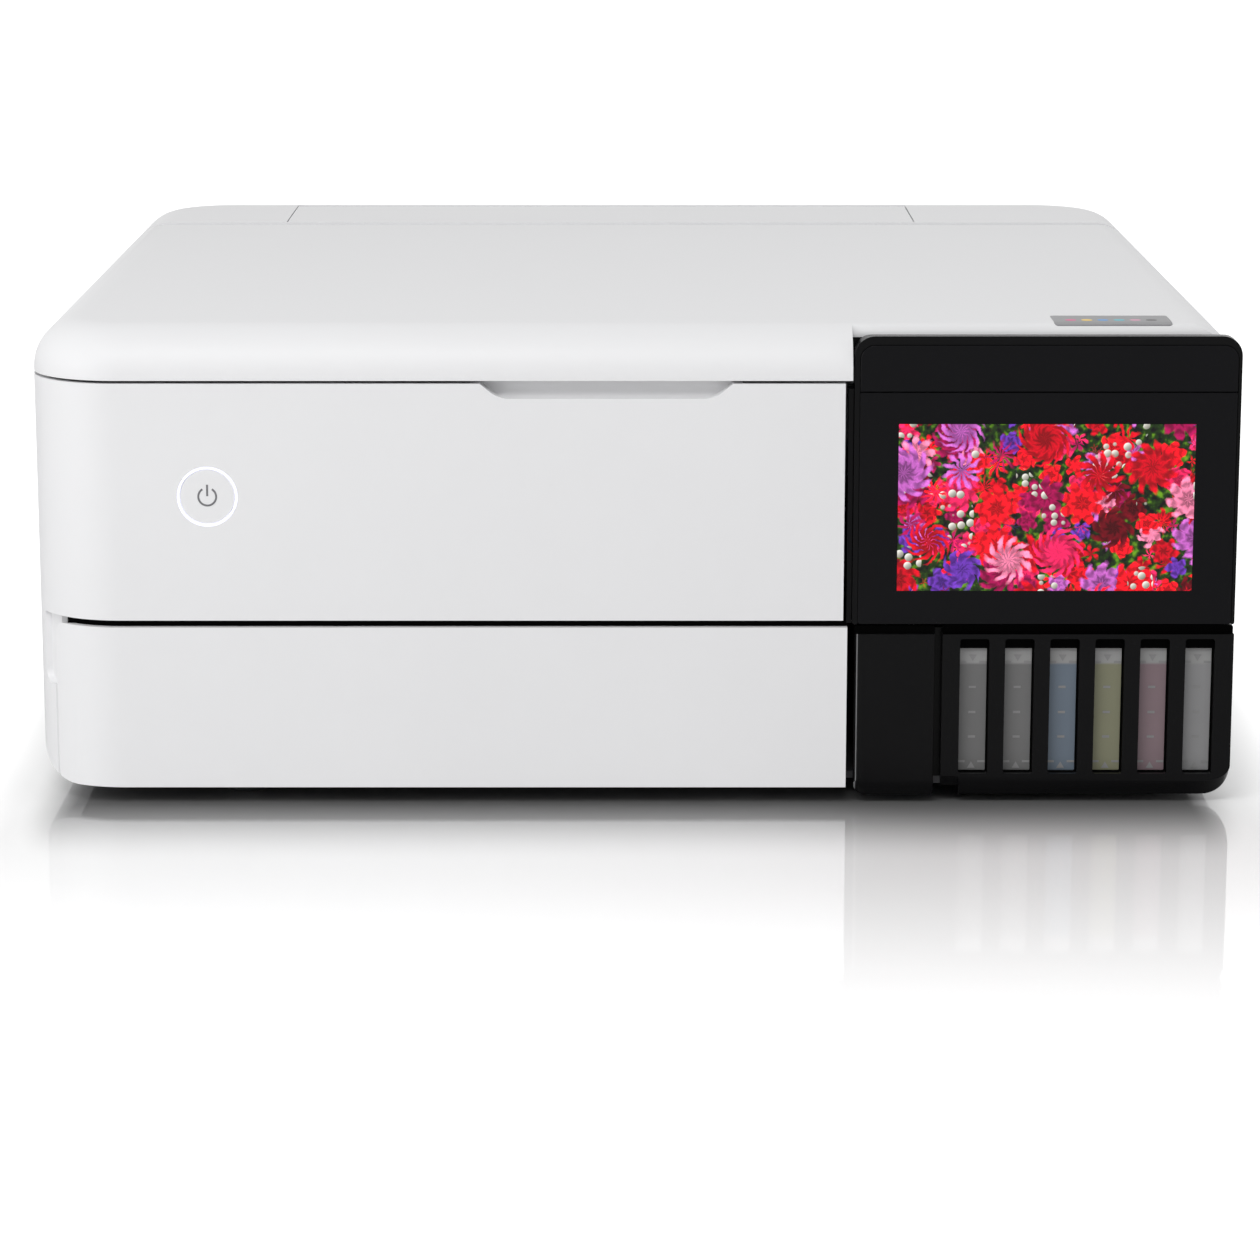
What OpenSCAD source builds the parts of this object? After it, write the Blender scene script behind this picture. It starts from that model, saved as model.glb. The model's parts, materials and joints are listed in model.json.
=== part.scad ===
// Six-tank inkjet printer with flatbed scanner, tilting touch panel and paper cassette.
// Origin at the middle of the footprint on the floor, X to the right, Y to the rear, Z up.

/* [Body] */
// Width over the housings
body_w = 403; // [396:1:420]
// Depth from the front face to the rear face
body_d = 378; // [372:1:400]
// Height over the lid
body_h = 162; // [160:1:166]
// Thickness of the plastic skins
wall = 2.5; // [2:0.1:3]
// Clear height under the base pan, which is the height of the feet
foot_h = 6; // [5:0.5:8]
// Plan radius of the front left corner
front_r = 30; // [26:1:34]
// Plan radius of the front right corner, beside the black panels
side_r = 4; // [3:0.5:6]
// Plan radius of both rear corners
rear_r = 36; // [30:1:40]
// Radius of the rounded upper edge
crown_r = 16.5; // [14:0.5:17]
// Radius of the lower left edge, seen from the front
lower_left_r = 14; // [10:0.5:16]
// Radius of the lower right edge, seen from the front
lower_right_r = 9; // [6:0.5:12]
// Height of the lid above the seam
lid_h = 18.5; // [17.5:0.5:20]
// Gap between the housings and the lid
seam_gap = 1; // [0.8:0.1:1.5]
// Clearance between pieces that slide past each other
slide_gap = 0.5; // [0.3:0.1:0.7]
// Radial clearance between a pin and its bore
pin_fit = 0.05; // [0.03:0.01:0.1]
// Clearance between a loose piece and what it rests on
rest_gap = 0.3; // [0.25:0.05:0.4]

/* [Lid] */
// Depth of the fixed deck behind the lid
deck_d = 79; // [74:1:84]
// Radius of the rounded rear edge of the lid, around its hinge
lid_roll_r = 7.5; // [7:0.5:8]
// Radius of the lid hinge knuckles
lid_knuckle_r = 4.5; // [4:0.25:4.5]
// Radius of the lid hinge pins
lid_pin_r = 2.5; // [2:0.25:3]
// Distance of each lid hinge from the side of the body
lid_hinge_in = 51.5; // [40:0.5:70]
// Width of one hinge arm
lid_arm_w = 8; // [6:0.5:10]
// Width of one hinge lug
lid_lug_w = 6.5; // [5:0.5:8]
// Thickness of the inner plate and of the white mat under it
lid_plate_t = 2; // [1.5:0.1:2.2]
// Thickness of the document mat
mat_t = 2.8; // [2.4:0.1:3]

/* [Scanner] */
// Height of the scanner housing
scanner_h = 21.5; // [20:0.5:22]
// Width of the glass
glass_w = 304; // [290:1:320]
// Depth of the glass
glass_d = 217; // [205:1:220]
// Thickness of the glass
glass_t = 3; // [2.5:0.5:3.5]
// Width of the scan bar
bar_w = 12; // [10:1:16]
// Radius of the rail that the scan bar runs on
scan_rail_r = 3; // [2.5:0.25:3.5]

/* [Front] */
// Width of the black module on the right
module_w = 127; // [124:1:130]
// Gap between the white fascia and the black module
fascia_gap = 3; // [2.6:0.1:3.4]
// Gap between the lower cover and the black module
cover_gap = 2; // [1.8:0.1:2.4]
// Height of the top edge of the lower cover
cover_top = 61.6; // [60:0.1:62]
// Gap between the lower cover and the fascia
front_gap = 1.9; // [1.5:0.1:2.2]
// Depth that the lower cover reaches round the corner
cover_wrap = 11; // [9:0.5:12]
// Thickness of the lower cover
cover_t = 3; // [2.6:0.1:3]
// Height of the lower cover's hinge pins
cover_pin_z = 9.5; // [9:0.1:10]
// Distance of these pins behind the front face
cover_pin_y = 6; // [5.8:0.1:6.2]
// Width at the top of the finger recess under the lid
recess_w = 84.2; // [70:0.1:90]
// Height of the finger recess
recess_h = 5; // [4.6:0.1:6]
// Distance of the finger recess to the left of the middle
recess_x = 8.5; // [0:0.5:15]
// Height of the side finger notch
notch_h = 24; // [20:1:28]
// Depth of the side finger notch along the side
notch_d = 11; // [9:0.5:12]
// Depth of that notch below the outer surface
notch_in = 2.2; // [1.8:0.1:2.4]

/* [Power button] */
// Distance of the power button from the left side
button_x = 60.3; // [55:0.1:70]
// Height of the power button
button_z = 105.6; // [95:0.1:112]
// Radius of the power button
button_r = 9.1; // [8:0.1:10]
// Width of the light ring around it
ring_w = 1; // [0.8:0.1:1.4]
// Travel of the power button
button_travel = 0.8; // [0.6:0.1:1]

/* [Control panel] */
// Height of the bottom edge of the panel
panel_z = 62.2; // [62:0.1:63]
// Distance of the panel's top edge below the top of the lid
panel_drop = 4; // [3:0.5:6]
// Thickness of the panel
panel_t = 9; // [8.6:0.1:9.4]
// Thickness of the glossy front plate
plate_t = 2; // [1.5:0.1:2.2]
// Height of the plain strip above the glossy plate
strip_h = 17.2; // [15:0.1:20]
// Width of the screen
screen_w = 98.4; // [90:0.1:102]
// Height of the screen
screen_h = 56.3; // [50:0.1:60]
// Distance of the screen from the left edge of the panel
screen_x = 13.9; // [12:0.1:15]
// Distance of the screen's lower edge above the panel's
screen_up = 11.5; // [8:0.1:16]

/* [Ink tanks] */
// Number of tanks
tank_count = 6; // [6:1:6]
// Distance from one tank to the next
tank_pitch = 15.1; // [14.6:0.1:15.2]
// Width of one window
window_w = 9.3; // [8.5:0.1:10]
// Height of the lower edge of the windows
window_z = 11.1; // [10.5:0.1:12]
// Height of one window
window_h = 45.5; // [42:0.1:46]
// Depth of the windows
window_d = 4; // [3.5:0.1:4.5]
// Width of the card slot door
door_w = 28.1; // [27:0.1:29]
// Gap between the door and the tank bezel
door_gap = 2.3; // [2:0.1:2.6]
// Height of the black lower edge above the floor
module_z = 3; // [2.5:0.1:3.5]
// Depth of a tank
tank_d = 72; // [66:1:76]
// Height of the tank tops
tank_top = 57; // [56:0.5:58]
// Radius of a filler neck
neck_r = 3.5; // [3:0.1:4]

/* [Paper path] */
// Width inside the paper rails
paper_w = 218; // [214:1:222]
// Gap between the paper rails and the black module
rail_gap = 4.5; // [3.5:0.5:6]
// Thickness of the rail walls
rail_t = 3; // [2.5:0.5:3.5]
// Length of the paper cassette
cassette_l = 300; // [290:1:310]
// Height of the cassette's rim above the floor
cassette_top = 36; // [32:1:40]
// Thickness of the cassette's walls and floor
cassette_t = 2; // [1.6:0.1:2.4]
// Length of the output tray
tray_l = 77; // [70:1:80]
// Height of the top of the output tray
tray_top = 51; // [50.5:0.1:51]
// Height of the paper plane
paper_z = 61; // [60.5:0.1:61]
// Radius of the feed and exit rollers
roller_r = 5; // [4.5:0.1:5]
// Radius of the roller journals
journal_r = 3; // [2.5:0.1:3.2]
// Place of the feed roller behind the middle
feed_y = 29; // [28:0.5:30]
// Place of the exit roller in front of the middle
exit_y = 55; // [54:0.5:56]
// Radius of the timing pulleys on the rollers
roller_pulley_r = 7; // [6:0.5:7]

/* [Carriage] */
// Width of the print carriage
carriage_w = 70; // [64:1:72]
// Home place of the carriage's middle, from the right side of the body
carriage_in = 61.5; // [59.5:0.5:63.5]
// Height of the underside of the carriage
carriage_z = 67; // [66.5:0.5:68]
// Clearance between the carriage and the scanner above it
carriage_clear = 5; // [4:0.5:9]
// Radius of the guide rod
rod_r = 4; // [3.5:0.1:4.5]
// Place of the guide rod behind the middle
rod_y = 14; // [12:0.5:15]
// Distance of the guide rod and the belt pulleys below the scanner
rod_drop = 22; // [21:0.5:23]
// Radius of the belt pulleys
pulley_r = 6; // [5.5:0.1:6.2]
// Width of the belts
belt_w = 4; // [3:0.5:4]
// Distance of the pulleys from the sides of the body
pulley_in = 29.5; // [28.5:0.5:31.5]

/* [Rear] */
// Width of the feeder cover in the deck
support_w = 251; // [246:1:256]
// Distance of the feeder cover's middle to the left of the middle
support_x = 12.5; // [10:0.5:14]
// Depth of the feeder cover from its hinge
support_d = 55.2; // [52:0.2:56]
// Thickness of the feeder cover
support_t = 3; // [2.5:0.1:3.2]
// Radius of the feeder cover's hinge roll
support_r = 3.5; // [3.2:0.1:3.5]
// Width of the maintenance box
box_w = 60; // [54:1:62]
// Depth of the maintenance box
box_d = 79; // [70:1:82]
// Height of the maintenance box
box_h = 36; // [32:1:38]

/* [Hidden] */
$fn = 48;

// Faces of the whole body
xl = -body_w / 2;
xr = body_w / 2;
yf = -body_d / 2;
yr = body_d / 2;
// Base pan, and the flat part of the underside
pan_t = 2.5;
pan_z = foot_h + pan_t;
pan_x0 = xl + lower_left_r + 0.3;
pan_x1 = xr - lower_right_r - 0.3;
pan_front = yf + 13;
// Lid and its hinge axis
seam_z = body_h - lid_h;
lid_hinge_x = xr - lid_hinge_in;
lid_z = seam_z + seam_gap;
deck_y = yr - deck_d;
lid_y = deck_y - 1;
hinge_y = lid_y - lid_roll_r;
hinge_z = body_h - lid_roll_r;
lid_plate_z = lid_z + 2.5;
lid_plate_y = hinge_y - 15.5;
// Black module
panel_top = body_h - panel_drop;
plate_top = panel_top - strip_h;
screen_z = panel_z + screen_up;
module_x = xr - module_w;
fascia_x = module_x - fascia_gap;
cover_x = module_x - cover_gap;
fascia_z = cover_top + front_gap;
bay_y = yf + panel_t + 1.5;
bay_t = 2;
module_top = panel_z - 0.7;
bezel_x = module_x + door_w + door_gap;
cutout_x = module_x - 1.5;
cutout_y = bay_y;
// Scanner housing, set in from the walls so that it lifts out
scanner_z = seam_z - scanner_h;
scanner_in = wall + 2;
scanner_front = bay_y + 4.5;
scanner_rear = hinge_y - 10.5;
scanner_plate_t = glass_t + 1.5;
deck_foot_z = scanner_z - 10;
glass_y1 = scanner_rear - 5;
glass_y0 = glass_y1 - glass_d;
scan_rail_y = -20;
scan_rail_z = scanner_z + 9;
// Tanks
tank_w = tank_pitch - 1;
tank_x = bezel_x + 5 + window_w / 2;
tank_y = yf + window_d + rest_gap;
neck_y = tank_y + 49;
cap_hinge_y = neck_y + 11;
cap_hinge_z = tank_top + 3;
cap_pin_r = 1;
tube_y = tank_y + tank_d;
tube_wall_y = -66;
// Paper path
paper_x1 = module_x - rail_gap - rail_t;
paper_x0 = paper_x1 - paper_w;
paper_mid = paper_x1 - paper_w / 2;
rail_top = paper_z + 1;
cassette_y1 = pan_front + cassette_l;
axle_z = paper_z - roller_r;
tray_y1 = -exit_y - 7;
tray_y0 = tray_y1 - tray_l;
tray_z = tray_top - 4.7;
ledge_w = 4;
tray_rail_w = 20;
roller_belt_x = paper_x0 - rail_t - 4;
belt_t = 1;
// Carriage drive
frame_y = 36;
frame_t = 1.5;
frame_x = xr - 15.5;
frame_top = scanner_z - 4;
rod_z = scanner_z - rod_drop;
pulley_x = xr - pulley_in;
carriage_x = xr - carriage_in;
belt_y = frame_y - 2.5 - belt_w;
motor_r = 13;
shaft_r = 1.5;
// Rear feeder: hopper plate and chute
deck_skin_z = body_h - wall;
hopper_x0 = -128;
hopper_x1 = 103;
slope_y = deck_y + 8;
slope_z = scanner_z - 24;
slope_a = 47.9;
slope_l = (deck_skin_z - 11 - slope_z) / sin(slope_a);
support_y = slope_y + 50;
support_axis_z = body_h - support_r;
support_x0 = -support_x - support_w / 2;
support_x1 = -support_x + support_w / 2;
// Maintenance box, inlet and ports in the rear wall
box_x = xr - 66.5;
box_z = 14;
inlet_x = xl + 51.5;
inlet_z = 34;
inlet_w = 24;
inlet_h = 20;
board_z = 66;
board_t = 1.6;
port_x0 = inlet_x + 32;
port_x1 = port_x0 + 35;
board_x1 = port_x1 + 8;
port_h = 13;
screw_r = 1.5;
screw_head_r = 3;
screw_head_h = 1.2;
screw_places = [[-120, 112], [0, 125], [110, 112], [-60, 25], [20, 25], [90, 25]];

white = [0.88, 0.88, 0.88];
black = [0.1, 0.1, 0.11];
dark = [0.2, 0.2, 0.21];
grey = [0.5, 0.5, 0.52];
steel = [0.72, 0.73, 0.75];

// Box from its lowest corner to its highest corner
module box(a, b) { translate(a) cube(b - a); }
module rod_x(x0, x1, y, z, r) { translate([x0, y, z]) rotate([0, 90, 0]) cylinder(r = r, h = x1 - x0); }
module rod_y(y0, y1, x, z, r) { translate([x, y0, z]) rotate([-90, 0, 0]) cylinder(r = r, h = y1 - y0); }
module rod_z(z0, z1, x, y, r) { translate([x, y, z0]) cylinder(r = r, h = z1 - z0); }
// Outline in the YZ plane, carried from x0 to x1
module slab_x(x0, x1, points) {
    translate([x0, 0, 0]) rotate([90, 0, 90]) linear_extrude(height = x1 - x0) polygon(points);
}

// Plan outline of the body, set in by g
module plan(g) {
    rf = front_r - g;
    rs = max(side_r - g, 0.5);
    rr = rear_r - g;
    polygon([[xl + g + rf, yf + g], [xr - g - rs, yf + g], [xr - g, yf + g + rs], [xr - g, yr - g - rr],
        [xr - g - rr, yr - g], [xl + g + rr, yr - g], [xl + g, yr - g - rr], [xl + g, yf + g + rf]]);
    translate([xl + g + rf, yf + g + rf]) circle(r = rf);
    translate([xr - g - rs, yf + g + rs]) circle(r = rs);
    translate([xr - g - rr, yr - g - rr]) circle(r = rr);
    translate([xl + g + rr, yr - g - rr]) circle(r = rr);
}

// What rounds off the lower left and lower right edges of a block set in by g
module lower_edge_cutters(g) {
    for (edge = [[xl + g, lower_left_r - g, 1], [xr - g, lower_right_r - g, -1]]) {
        side = edge[0];
        r = edge[1];
        mid = side + edge[2] * r;
        difference() {
            box([min(side - edge[2] * 5, mid), yf - 5, -1],
                [max(side - edge[2] * 5, mid), yr + 5, foot_h + g + r]);
            rod_y(yf - 6, yr + 6, mid, foot_h + g + r, r);
        }
    }
}

// Body block with its rounded plan and lower edges, set in by g
module body_block(g, top) {
    difference() {
        translate([0, 0, foot_h + g]) linear_extrude(height = top - foot_h - g) plan(g);
        lower_edge_cutters(g);
    }
}

// Skin of the body up to the lid seam, open at the top and under its flat bottom
module body_skin(t) {
    difference() {
        body_block(0, seam_z);
        body_block(t, seam_z + 1);
        box([xl + lower_left_r, yf + cover_wrap, 0], [xr - lower_right_r, yr - t, pan_z]);
    }
}

// Profile of a crowned edge: d deep, h high, with its outer top corner rounded by r
module crown_profile(d, h, r) {
    if (d > r) square([d - r, h]);
    square([d, h - r]);
    translate([d - r, h - r]) intersection() { circle(r = r); square(r); }
}
module crown_edge(x, y, z, turn, length, d, h, r) {
    translate([x, y, z]) rotate([0, 0, turn]) rotate([90, 0, 0]) linear_extrude(height = length)
        crown_profile(d, h, r);
}
module crown_corner(x, y, z, rc, h, r) {
    translate([x, y, z]) rotate_extrude() crown_profile(rc, h, r);
}

// The top of the whole body with its rounded upper edge, set in by g, from height z up
module crowned(g, z) {
    r = crown_r - g;
    rf = front_r - g;
    rr = rear_r - g;
    h = body_h - g - z;
    x0 = xl + g;
    x1 = xr - g;
    y0 = yf + g;
    y1 = yr - g;
    box([x0 + rr, y0 + rr, z], [x1 - rr, y1 - rr, z + h]);
    crown_edge(x1 - rr, y1 - rr, z, 0, y1 - rr - y0 - r, rr, h, r);
    crown_edge(x0 + rr, y1 - rr, z, 90, x1 - x0 - 2 * rr, rr, h, r);
    crown_edge(x0 + rr, y0 + rf, z, 180, y1 - rr - y0 - rf, rr, h, r);
    crown_edge(x1 - r, y0 + rr, z, 270, x1 - r - x0 - rf, rr, h, r);
    crown_corner(x0 + rf, y0 + rf, z, rf, h, r);
    crown_corner(x1 - r, y0 + r, z, r, h, r);
    crown_corner(x1 - rr, y1 - rr, z, rr, h, r);
    crown_corner(x0 + rr, y1 - rr, z, rr, h, r);
}

// Lid outline set in by g: rolled around its hinge at the rear, cut out round the control panel
module lid_solid(g) {
    intersection() {
        crowned(g, g > 0 ? lid_z - 1 : lid_z);
        union() {
            box([xl, yf, lid_z - 1], [xr, hinge_y, body_h]);
            rod_x(xl, xr, hinge_y, hinge_z, lid_roll_r - g);
            box([xl, hinge_y - 1, lid_z + (g > 0 ? 0 : 3)], [xr, lid_y + (g > 0 ? 1 : 0), hinge_z]);
        }
    }
}
module lid_cutout(g) { box([cutout_x - g, yf - 1, lid_z - 2], [xr + 1, cutout_y + g, body_h + 1]); }

// Both hinge places, left and right
module at_lid_hinges() { for (side = [-1, 1]) translate([side * lid_hinge_x, 0, 0]) children(); }

module base_pan() {
    color(dark) difference() {
        union() {
            intersection() {
                linear_extrude(height = body_h) plan(wall + 0.3);
                union() {
                    box([pan_x0, pan_front, foot_h], [pan_x1, yr - wall - 0.3, pan_z]);
                    box([module_x + 1, yf + 6, foot_h], [pan_x1, pan_front + 1, pan_z]);
                }
            }
            for (x = [paper_x0 - rail_t, paper_x1])
                box([x, pan_front, foot_h], [x + rail_t, cassette_y1 + 2, cassette_top + 6]);
            for (x = [paper_x0 - rail_t, paper_x1])
                box([x, pan_front, foot_h], [x + rail_t, feed_y + 9, rail_top]);
            for (x = [paper_x0 - 0.5, paper_x1 - ledge_w + 0.5])
                box([x, pan_front, tray_z - rest_gap - 2], [x + ledge_w, tray_y1 + 2, tray_z - rest_gap]);
            for (x = [box_x - box_w / 2 + 4, box_x + box_w / 2 - 7])
                box([x, yr - box_d, foot_h], [x + 3, yr - wall - 4, box_z - rest_gap]);
            for (y = [cassette_y1 + 6, cassette_y1 + 40]) rod_z(foot_h, board_z, board_x1 - 7, y, 3);
        }
        for (y = [-exit_y, feed_y])
            rod_x(paper_x0 - rail_t - 1, paper_x1 + rail_t + 1, y, axle_z, journal_r + pin_fit);
    }
}

module rubber_feet() {
    color(black) for (p = [[-132, yf + 24], [150, yf + 24], [-150, yr - 30], [150, yr - 30]])
        rod_z(0, foot_h, p[0], p[1], 7);
}

// Place of the side finger notch, grown by g
module notch_place(g) {
    z1 = fascia_z + 3;
    box([xl - 1, yf + cover_wrap - g, z1 - notch_h - g],
        [xl + lower_left_r, yf + cover_wrap + notch_d + g, z1 + g]);
}
module finger_notch() {
    difference() {
        notch_place(0);
        body_block(notch_in, seam_z);
    }
}

// Floor behind the side finger notch, with the skin's thickness
module notch_floor() {
    intersection() {
        difference() {
            body_block(notch_in, seam_z);
            body_block(notch_in + wall, seam_z + 1);
        }
        notch_place(wall);
    }
}

module left_housing() {
    color(white) difference() {
        intersection() {
            union() {
                body_skin(wall);
                notch_floor();
            }
            union() {
                box([xl, yf + front_r + 0.2, 0], [xl + lower_left_r, yr - rear_r, seam_z]);
                box([xl, yf + cover_wrap + 0.4, 0], [xl + lower_left_r, yf + front_r + 1, fascia_z - 0.3]);
            }
        }
        finger_notch();
    }
}

module right_housing() {
    color(white) intersection() {
        body_skin(wall);
        box([xr - lower_right_r, bay_y, 0], [xr, yr - rear_r, seam_z]);
    }
}

module rear_housing() {
    color(white) difference() {
        intersection() {
            body_skin(wall);
            box([xl, yr - rear_r + 0.2, 0], [xr, yr, seam_z]);
        }
        box([box_x - box_w / 2 - slide_gap, yr - wall - 1, box_z - slide_gap],
            [box_x + box_w / 2 + slide_gap, yr + 1, box_z + box_h + slide_gap]);
        box([inlet_x - inlet_w / 2 - 0.1, yr - wall - 1, inlet_z - inlet_h / 2 - 0.1],
            [inlet_x + inlet_w / 2 + 0.1, yr + 1, inlet_z + inlet_h / 2 + 0.1]);
        box([port_x0 - 0.3, yr - wall - 1, board_z + board_t - 0.3],
            [port_x1 + 0.3, yr + 1, board_z + board_t + port_h + 0.3]);
        for (p = screw_places) {
            rod_y(yr - wall - 1, yr + 1, p[0], p[1], screw_r + 0.1);
            rod_y(yr - screw_head_h, yr + 1, p[0], p[1], screw_head_r + 0.1);
        }
    }
}

module front_fascia() {
    recess_mid = -recess_x;
    scoop_y = yf + 4.5;
    button = xl + button_x;
    color(white) difference() {
        union() {
            intersection() {
                union() {
                    body_skin(wall);
                    notch_floor();
                }
                box([xl, yf, fascia_z], [fascia_x, yf + front_r, seam_z]);
            }
            box([recess_mid - recess_w / 2 - 3, yf + wall - 0.1, seam_z - recess_h - 4],
                [recess_mid + recess_w / 2 + 3, scoop_y + 2, seam_z]);
            rod_y(yf + wall - 0.1, yf + 11, button, button_z, button_r + ring_w + 2);
        }
        translate([recess_mid, scoop_y, seam_z]) rotate([90, 0, 0]) linear_extrude(height = 6)
            polygon([[-recess_w / 2, 1], [-recess_w / 2, 0], [6.4 - recess_w / 2, -recess_h],
                [recess_w / 2 - 6.4, -recess_h], [recess_w / 2, 0], [recess_w / 2, 1]]);
        rod_y(yf - 1, yf + 9.5, button, button_z, button_r + ring_w);
        finger_notch();
    }
}

module feeder_deck() {
    color(white) difference() {
        union() {
            difference() {
                crowned(0, seam_z);
                crowned(wall, seam_z - 1);
                box([xl, yf, seam_z - 2], [xr, deck_y, body_h + 1]);
            }
            intersection() {
                crowned(0, seam_z);
                box([xl, deck_y, seam_z], [xr, deck_y + wall, body_h]);
            }
            box([xl + wall + 0.3, deck_y, deck_foot_z], [xr - wall - 0.3, deck_y + wall, seam_z + 1]);
            for (x = [support_x0 - 4, support_x1 + 0.5])
                box([x, support_y - 5, support_axis_z - 5], [x + 3.5, support_y + 6, deck_skin_z + 1]);
            rod_x(support_x0 - 2, support_x0 + 5, support_y, support_axis_z, shaft_r);
            rod_x(support_x1 - 5, support_x1 + 2, support_y, support_axis_z, shaft_r);
        }
        difference() {
            box([support_x0 - 0.5, deck_y + wall, deck_skin_z - 0.5],
                [support_x1 + 0.5, support_y + 5, body_h + 1]);
            rod_x(support_x0 - 2, support_x0 + 5, support_y, support_axis_z, shaft_r);
            rod_x(support_x1 - 5, support_x1 + 2, support_y, support_axis_z, shaft_r);
        }
    }
}

// Frame of the sloping hopper plate: Y runs up the plate and Z stands off it
module on_slope() { translate([0, slope_y, slope_z]) rotate([slope_a, 0, 0]) children(); }

module feed_hopper() {
    front = deck_y + wall;
    chute_end = slope_z - 36;
    color(dark) {
        on_slope() box([hopper_x0, 0, -2.5], [hopper_x1, slope_l, 0]);
        slab_x(hopper_x0, hopper_x1, [[feed_y + 11, chute_end], [slope_y, slope_z],
            [slope_y + 3, slope_z - 0.5], [slope_y + 2, slope_z - 3], [feed_y + 11, chute_end - 2.5]]);
        box([hopper_x0, front, slope_z + 7], [hopper_x1, front + 2, deck_skin_z - 3]);
        for (x = [hopper_x0, hopper_x1 - 2.5])
            slab_x(x, x + 2.5, [[front, slope_z - 4], [slope_y, slope_z - 4],
                [slope_y + 44, deck_skin_z - 12], [slope_y + 44, deck_skin_z - 3], [front, deck_skin_z - 3]]);
    }
}

module panel_bay() {
    arm_y = yf + panel_t - 4.5;
    arm_z = panel_top - 4.5;
    color(black) {
        box([fascia_x + 0.2, bay_y, panel_z - 0.2], [xr - wall, bay_y + bay_t, seam_z - 2]);
        box([fascia_x + 0.2, yf + wall, panel_z], [fascia_x + 2, bay_y + 1, seam_z - 2]);
        for (side = [0, 1]) {
            inner = side == 0 ? module_x + wall + 0.3 : xr - wall - 0.3 - 6;
            pin = side == 0 ? module_x + 1 : xr - wall - 1;
            box([inner, arm_y - 0.2, arm_z - 31], [inner + 6, arm_y + 1.5, arm_z]);
            box([inner, arm_y - 0.2, arm_z - 31], [inner + 6, bay_y + 1, arm_z - 13]);
            rod_x(inner, inner + 6, arm_y, arm_z, 2.1);
            rod_x(pin, pin + 2.5, arm_y, arm_z, shaft_r);
        }
    }
}

module lid_hinges() {
    arm_front = hinge_y - 8;
    color(steel) at_lid_hinges() {
        box([-lid_arm_w / 2, arm_front, deck_foot_z], [lid_arm_w / 2, deck_y, deck_foot_z + 6]);
        box([-lid_arm_w / 2, arm_front, deck_foot_z], [lid_arm_w / 2, hinge_y - 1, hinge_z]);
        rod_x(-lid_arm_w / 2, lid_arm_w / 2, hinge_y, hinge_z, lid_knuckle_r);
        rod_x(-lid_arm_w / 2 - 0.5 - lid_lug_w, lid_arm_w / 2 + 0.5 + lid_lug_w, hinge_y, hinge_z, lid_pin_r);
    }
}

module power_light_ring() {
    x = xl + button_x;
    color([0.95, 0.95, 1]) difference() {
        rod_y(yf, yf + wall, x, button_z, button_r + ring_w);
        rod_y(yf - 1, yf + wall + 1, x, button_z, button_r + 0.1);
    }
}

module main_board() {
    color([0.12, 0.36, 0.2]) {
        intersection() {
            box([pan_x0 + 5, deck_y - 2, board_z], [board_x1, yr - wall - 0.5, board_z + board_t]);
            linear_extrude(height = body_h) plan(wall + 0.5);
        }
        for (y = [deck_y + 4, deck_y + 34]) rod_z(60, board_z + 1, pan_x0 + 12, y, 3);
        for (part = [[-10, 12, 28, 28, 6], [32, 6, 18, 18, 4], [-25, 50, 12, 16, 14]])
            box([inlet_x + part[0], deck_y + part[1], board_z],
                [inlet_x + part[0] + part[2], deck_y + part[1] + part[3], board_z + part[4]]);
    }
}

module power_supply() {
    color(dark) box([pan_x0 + 0.5, deck_y - 40, pan_z], [inlet_x - inlet_w / 2 + 4, yr - 24, 60]);
}

module mains_inlet() {
    color(black) difference() {
        box([inlet_x - inlet_w / 2, yr - 24, inlet_z - inlet_h / 2],
            [inlet_x + inlet_w / 2, yr - 0.2, inlet_z + inlet_h / 2]);
        difference() {
            union() {
                for (side = [-1, 1]) rod_y(yr - 16, yr + 1, inlet_x + side * 4.3, inlet_z, 4.3);
                box([inlet_x - 4.3, yr - 16, inlet_z - 4.3], [inlet_x + 4.3, yr + 1, inlet_z + 4.3]);
            }
            for (side = [-1, 1]) rod_y(yr - 17, yr - 6, inlet_x + side * 4.3, inlet_z, 1.2);
        }
    }
}

module rear_ports() {
    z0 = board_z + board_t;
    color(steel) difference() {
        union() {
            box([port_x0, yr - 20, z0], [port_x0 + 14, yr - 0.2, z0 + port_h]);
            box([port_x1 - 17, yr - 20, z0], [port_x1, yr - 0.2, z0 + port_h]);
        }
        box([port_x0 + 2.5, yr - 12, z0 + 2], [port_x0 + 11.5, yr + 1, z0 + 10]);
        box([port_x1 - 14.5, yr - 14, z0 + 2.5], [port_x1 - 2.5, yr + 1, z0 + 10.5]);
    }
}

module inner_frame() {
    color(steel) difference() {
        union() {
            box([-frame_x, frame_y, 72], [frame_x, frame_y + frame_t, frame_top]);
            for (x = [-frame_x, frame_x - frame_t])
                box([x, -58, pan_z], [x + frame_t, frame_y + frame_t, frame_top]);
            rod_y(belt_y - 1.5, frame_y + 0.5, pulley_x, rod_z, shaft_r + 0.5);
        }
        rod_x(-frame_x - 1, frame_x + 1, rod_y, rod_z, rod_r);
        rod_y(frame_y - 1, frame_y + frame_t + 1, -pulley_x, rod_z, shaft_r + 0.3);
    }
}

module guide_rails() {
    color(steel) rod_x(-frame_x, frame_x, rod_y, rod_z, rod_r);
}

module encoder_strip() {
    color([0.3, 0.3, 0.35]) box([-frame_x + frame_t, frame_y - 4.8, rod_z + 10],
        [frame_x - frame_t, frame_y - 4.4, rod_z + 16]);
}

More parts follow.
